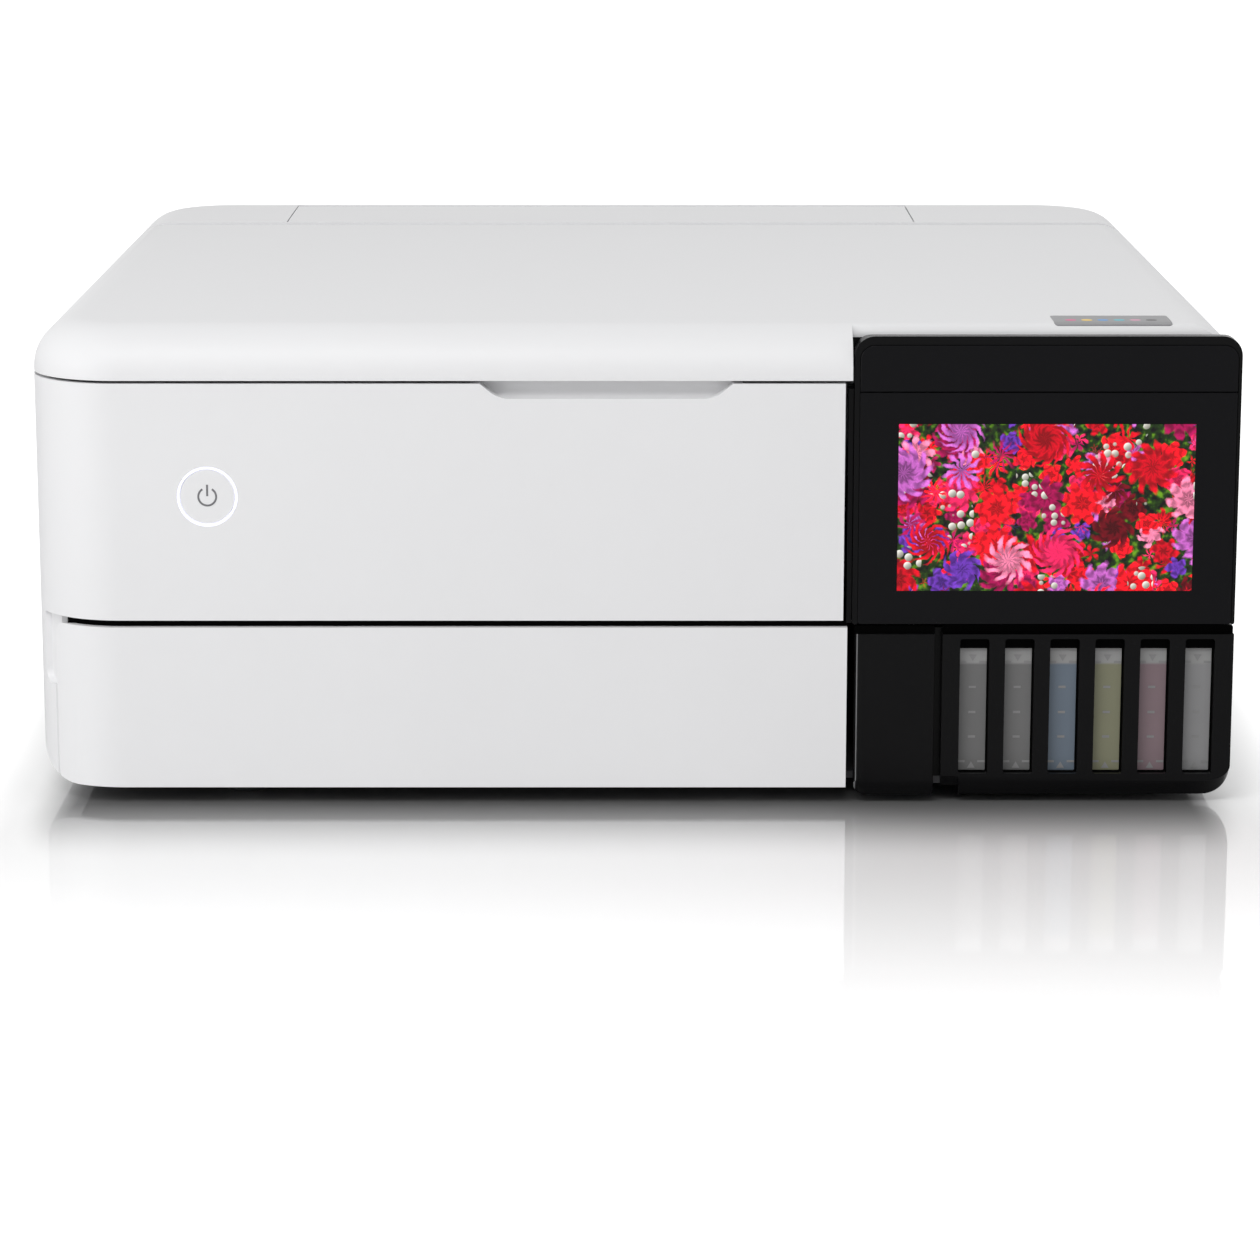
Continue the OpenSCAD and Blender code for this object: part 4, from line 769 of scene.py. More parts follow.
cover = cut(body_block(0.0, cover_high.z), body_block(cover_t, cover_high.z + 1))
cover_top, cover_rear = cover_high.z - 0.5, front + wrap - 0.3
profile = prism("profile", [(front - 1.0, foot_h), (cover_rear, foot_h, 3.5), (cover_rear, cover_top, 3.2),
                            (front - 1.0, cover_top)], "x", left - 1, cover_high.x - 0.5, 8)
common(cover, profile)
inner_floor = common(block("floor cut", (left + lower_left_r, front + cover_t, 0), (right, rear, foot_h + cover_t + 1)),
                     prism("inner plan", [(left + cover_t, front + cover_t, front_r - cover_t), (right, front + cover_t),
                                          (right, rear), (left + cover_t, rear)], "z", 0, top, 14))
cut(cover, inner_floor)
for hinge_x in hinge_places:
    for side in (-1, 1):
        x0 = hinge_x + side * 8.2 - 4
        add(cover, disc("eye", cover_pin, 2.7, "x", x0, x0 + 8, 32),
            block("web", (x0, front + cover_t - 0.5, cover_pin[1] - 2.7), (x0 + 8, cover_pin[0], cover_pin[1] + 2.7)))
    add(cover, disc("pin", cover_pin, 1.5, "x", hinge_x - 5, hinge_x + 5, 24))
place(cover, "lower_cover", "front_cover", "white_shell", white_abs, replaces=["front_cover"], width=0.5)
# the lip behind the gap above the lower cover is near-black: painted shade for the dark gap
lip = common(cut(body_block(cover_t - 0.3, fascia_z - 0.3), body_block(cover_t + 1.0, fascia_z + 1)),
             block("lip", (left + 8, front, cover_top - 5), (cover_high.x - 0.5, front + wrap - 0.8, fascia_z)))
place(lip, "cover_lip", "front_cover", "black_shell", painted_shade_black, width=0.15)

# %% [markdown]
# ## Rear deck and feeder cover
# Behind the lid the top goes on as a fixed deck. A wide flap in it opens to the rear paper feeder.

# %% Rear deck
flap_low, flap_high = reach("paper_support")
flap_pin = flap_high.y - 3.5, top - 3.5


def crowned_skin(place_y):
    """The rear of the crowned top as a skin, from a plane across Y backwards, with a front wall."""
    outer, inner = crowned_block(seam_z), crowned_block(seam_z - 1, inset=wall)
    sliced(outer, place_y, keep_front=False)
    sliced(inner, place_y + wall, keep_front=False)
    return cut(write_mesh(outer, "deck outer"), write_mesh(inner, "deck inner"))


deck = crowned_skin(deck_low.y)
add(deck, block("deck foot", (left + wall + 0.3, deck_low.y, deck_low.z), (right - wall - 0.3, deck_low.y + wall, seam_z + 1)))
for ear_x in (flap_low.x - 4, flap_high.x + 0.5):
    add(deck, block("ear", (ear_x, flap_pin[0] - 5, flap_pin[1] - 5), (ear_x + 3.5, flap_pin[0] + 6, top - wall + 1)))
cut(deck, block("flap room", (flap_low.x - 0.5, deck_low.y + wall, top - wall - 0.5),
                (flap_high.x + 0.5, flap_pin[0] + 5, top + 1)))
for pin_x in (flap_low.x - 2, flap_high.x - 5):
    add(deck, disc("flap pin", flap_pin, 1.5, "x", pin_x, pin_x + 7, 24))
place(deck, "rear_deck", "chassis", "white_shell", white_abs, replaces=["feeder_deck"], width=0.35)

# %% Feeder cover
flap = add(block("flap", (flap_low.x, flap_low.y, flap_low.z + 4), (flap_high.x, flap_pin[0], top)),
           disc("roll", flap_pin, 3.5, "x", flap_low.x, flap_high.x, 40))
for pin_x in (flap_low.x - 1, flap_high.x - 6):
    cut(flap, disc("bore", flap_pin, 1.55, "x", pin_x, pin_x + 7, 24))
place(flap, "feeder_flap", "paper_support", "white_shell", white_abs, replaces=["paper_support"], width=0.4)
print("flap", [round(v, 1) for v in (*flap_low, *flap_high)])

# %% [markdown]
# ## Control panel
# The panel is a thin black box with rounded upper corners, rolled over its hinge at the rear. A glossy
# plate covers its front below a plain strip, and the screen lies flush in the plate.

# %% Control panel
panel_back = module_high.y
panel_low_z, panel_high_z = module_low.z, module_high.z
plate_low, plate_high = reach("touch_panel")
plate_t = plate_high.y - plate_low.y
screen_low, screen_high = reach("display_module")
screen_rim = 1.7
screen_box = (screen_low.x + screen_rim, screen_high.x - screen_rim, screen_low.z + screen_rim,
              screen_high.z - screen_rim)
corner_r = 6.6
hinge_r = 4.5
hinge_axis = panel_back - hinge_r, panel_high_z - hinge_r


def upright(name, x0, x1, z0, z1, y0, y1, top_r=0.0, low_r=0.0, segments=10):
    """Plate across Y with rounded upper and lower corners."""
    return prism(name, [(x0, z0, low_r), (x1, z0, low_r), (x1, z1, top_r), (x0, z1, top_r)], "y", y0, y1, segments)


FRAME_ROLL, FRAME_FRONT, FRAME_RISE = 2.8, front + 0.25, 1.3
frame_x0, frame_top = module_low.x - 0.9, panel_high_z + FRAME_RISE
panel_bm = prism_bmesh([(frame_x0, panel_low_z, 0.8), (module_high.x, panel_low_z, 0.8),
                        (module_high.x, frame_top, corner_r), (frame_x0, frame_top, corner_r)],
                       "y", FRAME_FRONT, panel_back, 12)
front_rim = [e for e in panel_bm.edges
             if all(v.co.y < FRAME_FRONT + MERGE for v in e.verts) and max(v.co.z for v in e.verts) > panel_low_z + 1]
bmesh.ops.bevel(panel_bm, geom=front_rim, offset=FRAME_ROLL, offset_type="OFFSET", segments=6, profile=0.5,
                affect="EDGES", clamp_overlap=True, material=-1)
panel = write_mesh(panel_bm, "panel")
common(panel, prism("roll", [(front, panel_low_z - 1), (panel_back, panel_low_z - 1), (panel_back, frame_top, hinge_r),
                             (front, frame_top)], "x", frame_x0 - 1, module_high.x + 1, 12))
cut(panel, block("hollow", (module_low.x + wall, front + plate_t + 2, panel_low_z + wall),
                 (module_high.x - wall, panel_back + 1, hinge_axis[1])),
    upright("plate room", module_low.x + 0.75, module_high.x - 1.05, panel_low_z - 1, frame_top - FRAME_ROLL,
            front - 1, front + plate_t + 0.2, corner_r - 1.6),
    disc("hinge room", hinge_axis, 2.5, "x", module_low.x + wall, module_high.x - wall, 24),
    block("screen room", (screen_low.x - 0.3, front, screen_low.z - 0.3), (screen_high.x + 0.3, front + 5.0, screen_high.z + 0.3)))
for bore_x in (module_low.x + 0.5, module_high.x - wall - 1):
    cut(panel, disc("bore", hinge_axis, 1.55, "x", bore_x, bore_x + 3, 24))
place(panel, "panel_body", "control_panel", "black_shell", black_abs, replaces=["panel_frame"], width=0.5, segments=3,
      edge=black_edge)

# %% Glossy strip and plate
plate_x0, plate_x1 = module_low.x + 0.95, module_high.x - 1.25
strip = upright("strip", plate_x0, plate_x1, plate_high.z + 0.3, frame_top - FRAME_ROLL - 0.2, front,
                front + plate_t + 0.3, corner_r - 1.8, 0.0)
place(strip, "panel_strip", "control_panel", "black_gloss", black_glass, width=0.35, segments=3)
face = upright("face", plate_x0, plate_x1, panel_low_z + 0.1, plate_high.z, front, front + plate_t + 0.3,
               0.0, 0.8)
cut(face, block("screen opening", (screen_box[0] - 0.05, front - 1, screen_box[2] - 0.05),
                (screen_box[1] + 0.05, front + 5, screen_box[3] + 0.05)))
place(face, "panel_face", "control_panel", "black_gloss", black_glass, replaces=["touch_panel"], width=0.35, segments=3)

# %% [markdown]
# ## Power button
# A flat white disc, inside a ring that glows. The icon is raised by a hair.

# %% Power button
BUTTON_FACE = front + 0.25
RING_LINE = 0.85
cap_r = ring_r - RING_LINE - 0.12
button = disc("button", (button_x, button_z), cap_r, "y", BUTTON_FACE, front + 3, 96)
add(button, disc("stem", (button_x, button_z), 3.0, "y", front + 2, front + 8.5, 32))
place(button, "power_button_cap", "power_button", "white_shell", white_abs, replaces=["power_button"], width=0.3)


def ring(name, middle, inner, outer, y0, y1, gap=0.0, sides=72):
    """Flat ring across Y, open at its top by an angle in degrees."""
    bm = bmesh.new()
    turn = math.radians(360 - gap)
    begin = math.radians(90 + gap / 2)
    rows = []
    for i in range(sides + 1):
        angle = begin + turn * i / sides
        c, s = math.cos(angle), math.sin(angle)
        rows.append([bm.verts.new((middle[0] + r * c, y, middle[1] + r * s))
                     for r, y in ((inner, y0), (outer, y0), (outer, y1), (inner, y1))])
    for one, two in zip(rows, rows[1:]):
        for k in range(4):
            bm.faces.new((one[k], one[(k + 1) % 4], two[(k + 1) % 4], two[k]))
    if gap:
        bm.faces.new(rows[0])
        bm.faces.new(rows[-1][::-1])
    bmesh.ops.remove_doubles(bm, verts=bm.verts, dist=MERGE)
    return write_mesh(bm, name)


glow = bpy.data.materials.new("ring_glow")
glow.use_nodes = True
glow_shader = glow.node_tree.nodes["Principled BSDF"]
glow_shader.inputs["Base Color"].default_value = (0.86, 0.86, 0.95, 1.0)
glow_shader.inputs["Roughness"].default_value = 0.35
glow_shader.inputs["Emission Color"].default_value = (0.80, 0.82, 1.0, 1.0)
glow_shader.inputs["Emission Strength"].default_value = 0.45
light_ring = ring("light_ring", (button_x, button_z), ring_r - RING_LINE, ring_r, front, front + wall)
place(light_ring, "light_ring", "chassis", "light_guide", glow, replaces=["power_light_ring"], width=0.12)

icon_grey = finish("icon_grey", (0.16, 0.16, 0.17), moulded_grain, 0.002, low_roughness=0.4, high_roughness=0.5)
icon_r, icon_line = 2.97, 0.65
icon_ring = ring("icon_ring", (button_x, button_z), icon_r - icon_line / 2, icon_r + icon_line / 2,
                 BUTTON_FACE - 0.06, BUTTON_FACE + 0.2, gap=64, sides=40)
place(icon_ring, "power_icon_ring", "power_button", "dark_plastic", icon_grey)
icon_bar = block("icon_bar", (button_x - icon_line / 2, BUTTON_FACE - 0.06, button_z + 0.2),
                 (button_x + icon_line / 2, BUTTON_FACE + 0.2, button_z + 4.05))
place(icon_bar, "power_icon_bar", "power_button", "dark_plastic", icon_grey)
print("button", round(button_x, 1), round(button_z, 1))

# %% [markdown]
# The screen shows a made-up bouquet, drawn by the shader alone. Cells of three sizes each become a
# blossom: the direction from a cell's middle gives its petals and the distance gives its depth. Berries
# lie on top in loose bunches. Colours come from ramps, by a random value per cell.

# %% Screen picture
CRIMSON_TO_PINK = [(0.0, (0.16, 0.001, 0.008)), (0.14, (0.70, 0.001, 0.014)), (0.36, (1.15, 0.006, 0.02)),
                   (0.52, (0.42, 0.003, 0.09)), (0.62, (1.05, 0.02, 0.14)), (0.73, (1.10, 0.28, 0.48)),
                   (0.80, (0.16, 0.04, 0.48)), (0.90, (0.62, 0.14, 0.60))]


def ramp(tree, factor, stops, place, interpolation="LINEAR"):
    """Colour ramp from (position, colour) stops."""
    made = node(tree, "ShaderNodeValToRGB", place)
    made.color_ramp.interpolation = interpolation
    elements = made.color_ramp.elements
    while len(elements) < len(stops):
        elements.new(1.0)
    for element, (position, colour) in zip(elements, stops):
        element.position = position
        element.color = (*colour, 1.0)
    tree.links.new(factor, made.inputs["Fac"])
    return made.outputs["Color"]


def maths(tree, operation, one, two, place):
    """Math node with sockets or numbers as inputs."""
    made = node(tree, "ShaderNodeMath", place, operation=operation)
    for socket, value in zip(made.inputs, (one, two)):
        if isinstance(value, (int, float)):
            socket.default_value = value
        else:
            tree.links.new(value, socket)
    return made.outputs[0]


def make_blossoms():
    """One layer of blossoms: colour, and how much of the cell the blossom covers."""
    group, start, end = new_group("blossoms", {"Size": 12.0, "Petals": 7.0, "Swirl": 2.0, "Shift": 0.0},
                                  {"Colour": "NodeSocketColor", "Cover": "NodeSocketFloat"})
    coords = node(group, "ShaderNodeTexCoord", (-1600, 0))
    flat = node(group, "ShaderNodeVectorMath", (-1400, 0), operation="MULTIPLY")
    flat.inputs[1].default_value = (1.0 / MM, 0.0, 1.0 / MM)
    group.links.new(coords.outputs["Object"], flat.inputs[0])
    moved = node(group, "ShaderNodeVectorMath", (-1200, 0), operation="ADD")
    group.links.new(flat.outputs[0], moved.inputs[0])
    group.links.new(start.outputs["Shift"], moved.inputs[1])
    warp = node(group, "ShaderNodeTexNoise", (-1200, -300))
    warp.inputs["Scale"].default_value = 0.45
    warp.inputs["Detail"].default_value = 3.0
    group.links.new(moved.outputs[0], warp.inputs["Vector"])
    bent = node(group, "ShaderNodeVectorMath", (-1000, -200), operation="MULTIPLY_ADD")
    bent.inputs[1].default_value = (2.4, 0.0, 2.4)
    group.links.new(warp.outputs["Color"], bent.inputs[0])
    group.links.new(moved.outputs[0], bent.inputs[2])
    sized = node(group, "ShaderNodeVectorMath", (-800, 0), operation="DIVIDE")
    group.links.new(bent.outputs[0], sized.inputs[0])
    group.links.new(start.outputs["Size"], sized.inputs[1])
    cells = node(group, "ShaderNodeTexVoronoi", (-600, 0))
    cells.inputs["Scale"].default_value = 1.0
    cells.inputs["Randomness"].default_value = 0.85
    group.links.new(sized.outputs[0], cells.inputs["Vector"])
    arm = node(group, "ShaderNodeVectorMath", (-400, -200), operation="SUBTRACT")
    group.links.new(sized.outputs[0], arm.inputs[0])
    group.links.new(cells.outputs["Position"], arm.inputs[1])
    parts = node(group, "ShaderNodeSeparateXYZ", (-200, -200))
    group.links.new(arm.outputs[0], parts.inputs[0])
    chance = node(group, "ShaderNodeSeparateColor", (-200, 200))
    group.links.new(cells.outputs["Color"], chance.inputs[0])
    distance = cells.outputs["Distance"]
    angle = maths(group, "ARCTAN2", parts.outputs["Z"], parts.outputs["X"], (0, -200))
    turned = maths(group, "MULTIPLY", distance, start.outputs["Swirl"], (0, -350))
    turned = maths(group, "MULTIPLY", turned, maths(group, "SUBTRACT", chance.outputs["Blue"], 0.3, (0, -450)), (150, -350))
    petals = maths(group, "MULTIPLY", maths(group, "ADD", angle, turned, (200, -250)), start.outputs["Petals"], (300, -200))
    lobe = maths(group, "ABSOLUTE", maths(group, "SINE", maths(group, "MULTIPLY", petals, 0.5, (400, -200)), 0.0, (500, -200)), 0.0, (600, -200))
    rings = maths(group, "MULTIPLY", distance, 26.0, (200, -500))
    rings = maths(group, "SINE", maths(group, "ADD", rings, maths(group, "MULTIPLY", lobe, 2.6, (300, -550)), (400, -500)), 0.0, (500, -500))
    shade = maths(group, "MULTIPLY_ADD", rings, 0.26, (650, -450))
    shade.node.inputs[2].default_value = 0.62
    edge = maths(group, "MULTIPLY_ADD", lobe, 0.20, (700, -200))
    edge.node.inputs[2].default_value = 0.34
    inside = maths(group, "SUBTRACT", edge, distance, (800, -250))
    cover = maths(group, "MULTIPLY", inside, 14.0, (900, -250))
    cover.node.use_clamp = True
    rim = maths(group, "MULTIPLY_ADD", distance, 1.15, (800, -400))
    rim.node.inputs[2].default_value = 0.42
    depth = maths(group, "MULTIPLY", shade, rim, (900, -400))
    fine = node(group, "ShaderNodeTexNoise", (600, -700))
    fine.inputs["Scale"].default_value = 1.6
    fine.inputs["Detail"].default_value = 4.0
    group.links.new(bent.outputs[0], fine.inputs["Vector"])
    depth = maths(group, "MULTIPLY", depth, maths(group, "ADD", fine.outputs["Fac"], 0.75, (800, -700)), (1000, -450))
    colour = ramp(group, chance.outputs["Red"], CRIMSON_TO_PINK, (0, 300), "CONSTANT")
    tone = node(group, "ShaderNodeMix", (1100, 0), data_type="RGBA", blend_type="MULTIPLY")
    tone.inputs[0].default_value = 1.0
    group.links.new(colour, tone.inputs["A"])
    group.links.new(depth, tone.inputs["B"])
    group.links.new(tone.outputs["Result"], end.inputs["Colour"])
    group.links.new(cover, end.inputs["Cover"])
    return group


def make_berries():
    """Round pale berries with a lit side, in bunches."""
    group, start, end = new_group("berries", {"Size": 3.4, "Shift": 0.0, "Bunches": 0.09},
                                  {"Colour": "NodeSocketColor", "Cover": "NodeSocketFloat"})
    coords = node(group, "ShaderNodeTexCoord", (-1200, 0))
    flat = node(group, "ShaderNodeVectorMath", (-1000, 0), operation="MULTIPLY")
    flat.inputs[1].default_value = (1.0 / MM, 0.0, 1.0 / MM)
    group.links.new(coords.outputs["Object"], flat.inputs[0])
    moved = node(group, "ShaderNodeVectorMath", (-800, 0), operation="ADD")
    group.links.new(flat.outputs[0], moved.inputs[0])
    group.links.new(start.outputs["Shift"], moved.inputs[1])
    sized = node(group, "ShaderNodeVectorMath", (-600, 0), operation="DIVIDE")
    group.links.new(moved.outputs[0], sized.inputs[0])
    group.links.new(start.outputs["Size"], sized.inputs[1])
    cells = node(group, "ShaderNodeTexVoronoi", (-400, 0))
    cells.inputs["Scale"].default_value = 1.0
    cells.inputs["Randomness"].default_value = 0.5
    group.links.new(sized.outputs[0], cells.inputs["Vector"])
    arm = node(group, "ShaderNodeVectorMath", (-200, -200), operation="SUBTRACT")
    group.links.new(sized.outputs[0], arm.inputs[0])
    group.links.new(cells.outputs["Position"], arm.inputs[1])
    lit = node(group, "ShaderNodeVectorMath", (0, -200), operation="DOT_PRODUCT")
    lit.inputs[1].default_value = (-0.6, 0.0, 0.8)
    group.links.new(arm.outputs[0], lit.inputs[0])
    bright = maths(group, "MULTIPLY_ADD", lit.outputs["Value"], 1.1, (200, -200))
    bright.node.inputs[2].default_value = 0.55
    disc_edge = maths(group, "SUBTRACT", 0.42, cells.outputs["Distance"], (0, 0))
    cover = maths(group, "MULTIPLY", disc_edge, 18.0, (200, 0))
    cover.node.use_clamp = True
    bunch = node(group, "ShaderNodeTexNoise", (-400, 300))
    bunch.inputs["Detail"].default_value = 0.0
    group.links.new(moved.outputs[0], bunch.inputs["Vector"])
    group.links.new(start.outputs["Bunches"], bunch.inputs["Scale"])
    here = maths(group, "GREATER_THAN", bunch.outputs["Fac"], 0.60, (-200, 300))
    cover = maths(group, "MULTIPLY", cover, here, (300, 100))
    colour = ramp(group, bright, [(0.0, (0.07, 0.07, 0.05)), (0.55, (0.38, 0.37, 0.32)), (1.0, (0.85, 0.84, 0.78))], (400, -200))
    group.links.new(colour, end.inputs["Colour"])
    group.links.new(cover, end.inputs["Cover"])
    return group


blossoms, berries = make_blossoms(), make_berries()

picture = bpy.data.materials.new("screen_picture")
picture.use_nodes = True
picture_tree = picture.node_tree
picture_shader = picture_tree.nodes["Principled BSDF"]
leaf_noise = node(picture_tree, "ShaderNodeTexNoise", (-1400, 400))
leaf_noise.inputs["Scale"].default_value = 0.35 / MM
leaf_coords = node(picture_tree, "ShaderNodeTexCoord", (-1600, 400))
picture_tree.links.new(leaf_coords.outputs["Object"], leaf_noise.inputs["Vector"])
colour = ramp(picture_tree, leaf_noise.outputs["Fac"],
              [(0.38, (0.004, 0.003, 0.004)), (0.55, (0.012, 0.035, 0.004)), (0.72, (0.12, 0.28, 0.01))], (-1200, 400))
for kind, numbers in ((blossoms, {"Size": 10.0, "Petals": 6.0, "Swirl": 5.0, "Shift": 83.0}),
                      (blossoms, {"Size": 8.0, "Petals": 5.0, "Swirl": 4.0, "Shift": 31.0}),
                      (blossoms, {"Size": 15.0, "Petals": 8.0, "Swirl": 6.0, "Shift": 4.0}),
                      (berries, {"Size": 3.4, "Shift": 17.0, "Bunches": 0.06}),
                      (blossoms, {"Size": 19.0, "Petals": 11.0, "Swirl": 9.0, "Shift": 57.0})):
    layer = node(picture_tree, "ShaderNodeGroup", (-900, 0), node_tree=kind)
    for title, value in numbers.items():
        layer.inputs[title].default_value = value
    over = node(picture_tree, "ShaderNodeMix", (-600, 0), data_type="RGBA")
    picture_tree.links.new(layer.outputs["Cover"], over.inputs[0])
    picture_tree.links.new(colour, over.inputs["A"])
    picture_tree.links.new(layer.outputs["Colour"], over.inputs["B"])
    colour = over.outputs["Result"]
picture_tree.links.new(colour, picture_shader.inputs["Emission Color"])
picture_shader.inputs["Emission Strength"].default_value = 1.4
picture_shader.inputs["Base Color"].default_value = (0.01, 0.01, 0.01, 1.0)
picture_shader.inputs["Roughness"].default_value = 0.08
picture_shader.inputs["Specular IOR Level"].default_value = 0.08

glass_front = block("screen", (screen_box[0], front + 0.15, screen_box[2]), (screen_box[1], front + 2.4, screen_box[3]))
place(glass_front, "screen_glass", "control_panel", "screen", picture)
print("screen box", [round(v, 1) for v in screen_box])

# %% [markdown]
# ## Ink tank module
# Below the panel stand a narrow door and the tank bezel. Both have a chamfer along their foot, which
# falls into shadow. The bezel has one window per tank.

# %% Chamfered foot
FOOT_RISE, FOOT_DEPTH, FOOT_REACH = 5.2, 3.0, 13.0


def chamfer_foot(piece, z_low, depth=FOOT_DEPTH):
    """Lifts the foot of the piece's front face, so a slope runs back from it down to the floor side."""
    bm = bmesh.new()
    bm.from_mesh(piece.data)
    bmesh.ops.bisect_plane(bm, geom=bm.verts[:] + bm.edges[:] + bm.faces[:], plane_co=(0, (front + depth) * MM, 0),
                           plane_no=(0, 1, 0), dist=MERGE * MM)
    for vertex in bm.verts:
        above = vertex.co.z / MM - z_low
        ahead = 1 - (vertex.co.y / MM - front) / depth
        if ahead > 0 and above < FOOT_REACH:
            vertex.co.z += FOOT_RISE * ahead * (1 - above / FOOT_REACH) * MM
    bm.to_mesh(piece.data)
    bm.free()
    return piece


# %% Tank bezel
bezel_low, bezel_high = reach("tank_bezel")
window_w, window_z0, window_z1, window_depth = 9.3, 11.1, 57.2, 4.0
LINTEL, GROOVE_H = 3.8, 2.7


def paint_deep_shade(piece, behind, z_from):
    """Painted shade: gives the faces behind a depth and above a height a near-black material, for the shadow deep in
    the windows and the groove.
    """
    piece.data.materials.append(painted_shade_black)
    for polygon in piece.data.polygons:
        if behind[0] < polygon.center.y / MM - front < behind[1] and polygon.center.z / MM > z_from:
            polygon.material_index = 3


tank_mids = [sum(c.x for c in reach("tank_cap_%d" % i)) / 2 for i in range(1, 7)]
bezel_x0, bezel_z0 = bezel_low.x - 0.9, bezel_low.z
bezel = prism("bezel", [(bezel_x0, bezel_z0 + 3.0), (bezel_low.x + 4.6, bezel_z0 + 3.0),
                        (bezel_low.x + 5.4, bezel_z0), (bezel_high.x, bezel_z0, lower_right_r),
                        (bezel_high.x, bezel_high.z, 0.8), (bezel_x0, bezel_high.z, 0.8)],
              "y", front, bezel_high.y, 12)
chamfer_foot(bezel, bezel_z0)
inside = common(block("room", (bezel_x0 - 1, front + window_depth, foot_h - 0.3),
                      (right - wall, bezel_high.y + 1, bezel_high.z - 2)),
                prism("room outline", [(left, foot_h - 0.3), (right, foot_h - 0.3, lower_right_r), (right, top), (left, top)],
                      "y", front, rear, 12))
cut(bezel, inside, block("groove", (bezel_x0 - 1, front - 1, bezel_high.z - GROOVE_H),
                         (bezel_high.x + 1, front + 2.8, bezel_high.z + 1)))
for mid in tank_mids:
    cut(bezel, upright("window", mid - window_w / 2, mid + window_w / 2 + 0.5, window_z0 - 0.4, window_z1, front - 1,
                       front + window_depth - 0.9, 0.9, 0.9, 4),
        upright("sight", mid - window_w / 2, mid + window_w / 2, window_z0, window_z1 - LINTEL, front,
                front + window_depth + 1, 0.3, 0.3, 3))
place(bezel, "tank_bezel_shell", "chassis", "black_shell", black_abs, replaces=["tank_bezel"], width=0.3, segments=3,
      edge=black_edge)
# painted shade in the upper part of each window and in the top groove
paint_deep_shade(bezel, (0.6, 3.9), window_z0)

# %% Door beside the tanks
door_low, door_high = reach("card_slot_door")
door_axis = door_low.x + 2.5, front + 2.5
knuckle_zs = (12.0, 44.0)
door_x1 = door_high.x - 1.1
door = prism("door", [(door_low.x, door_low.z, 4.2), (door_x1, door_low.z, 0.8), (door_x1, door_high.z, 0.8),
                      (door_low.x, door_high.z, 0.8)], "y", front, front + 5.0, 10)
common(door, prism("door plan", [(door_low.x, front, 2.3), (door_x1, front, 0.5), (door_x1, front + 2.5, 0.4),
                                 (door_low.x + 5.0, front + 2.5), (door_low.x + 5.0, front + 5.0, 2.4),
                                 (door_low.x, front + 5.0, 2.4)], "z", door_low.z - 1, door_high.z + 1, 8))
chamfer_foot(door, door_low.z, 2.2)
cut(door, block("groove", (door_low.x - 1, front - 1, door_high.z - GROOVE_H), (door_high.x + 1, front + 1.8, door_high.z + 1)))
for z0 in knuckle_zs:
    cut(door, disc("knuckle room", door_axis, 1.6, "z", z0 - 0.3, z0 + 6.3, 24),
        block("swing room", (door_axis[0] - 2.6, door_axis[1] - 0.8, z0 - 0.3), (door_axis[0] + 3.2, front + 6, z0 + 6.3)))
    add(door, disc("door_pin", door_axis, 0.7, "z", z0 - 0.6, z0 + 6.6, 16))
place(door, "card_door", "card_slot_door", "black_shell", black_abs, replaces=["card_slot_door"], width=0.3, segments=3,
      edge=black_edge)
# painted shade in the door's top groove
paint_deep_shade(door, (1.0, 4.9), door_high.z - GROOVE_H - 0.2)

# %% [markdown]
# Each tank is a closed box of frosted plastic. The ink shows through as a tint up to its level, and the
# wall carries moulded marks: an upper and a lower limit with a triangle, and three ticks between.

# %% Tank plastic
INK_LEVEL = 47.7
CLEAR = (0.36, 0.36, 0.36)
INKS = [(0.185, 0.185, 0.185), (0.190, 0.190, 0.190), (0.165, 0.205, 0.255), (0.255, 0.255, 0.170),
        (0.255, 0.185, 0.205), (0.300, 0.300, 0.305)]


def tank_plastic(name, ink):
    """Frosted plastic that shows the ink up to its level."""
    material = finish(name, ink, moulded_grain, 0.01, specular=0.3, grain=0.6, drift=0.05,
                      low_roughness=0.30, high_roughness=0.42, shade=0.08)
    tree = material.node_tree
    shader = tree.nodes["Principled BSDF"]
    tint = shader.inputs["Base Color"].links[0].from_node
    coords = node(tree, "ShaderNodeTexCoord", (-1100, 500))
    parts = node(tree, "ShaderNodeSeparateXYZ", (-900, 500))
    tree.links.new(coords.outputs["Object"], parts.inputs[0])
    level = node(tree, "ShaderNodeMapRange", (-700, 500))
    level.inputs["From Min"].default_value = (INK_LEVEL - 0.3) * MM
    level.inputs["From Max"].default_value = (INK_LEVEL + 0.6) * MM
    tree.links.new(parts.outputs["Z"], level.inputs["Value"])
    fill = node(tree, "ShaderNodeMix", (-500, 400), data_type="RGBA")
    fill.inputs["A"].default_value = (*ink, 1.0)
    fill.inputs["B"].default_value = (*CLEAR, 1.0)
    tree.links.new(level.outputs["Result"], fill.inputs[0])
    tree.links.new(fill.outputs["Result"], tint.inputs["A"])
    return material


# %% Tanks
tank_low, tank_high = reach("ink_tanks")
tank_front, tank_back, tank_floor, tank_top = tank_low.y, tank_high.y, tank_low.z, 57.0
tank_half = tank_mids[0] - tank_low.x
neck_y = tank_front + 49.0
cap_axis = neck_y + 11.0, tank_top + 3.0
# the raised marks are a lighter grey than the tank: a painted highlight of their relief
mark_highlight_grey = finish("mark_highlight_grey", (0.27, 0.27, 0.27), moulded_grain, 0.004, low_roughness=0.4, high_roughness=0.5)


def mark(name, corners):
    """Moulded mark standing off a tank's front wall."""
    return prism(name, corners, "y", tank_front - 0.16, tank_front + 0.3)


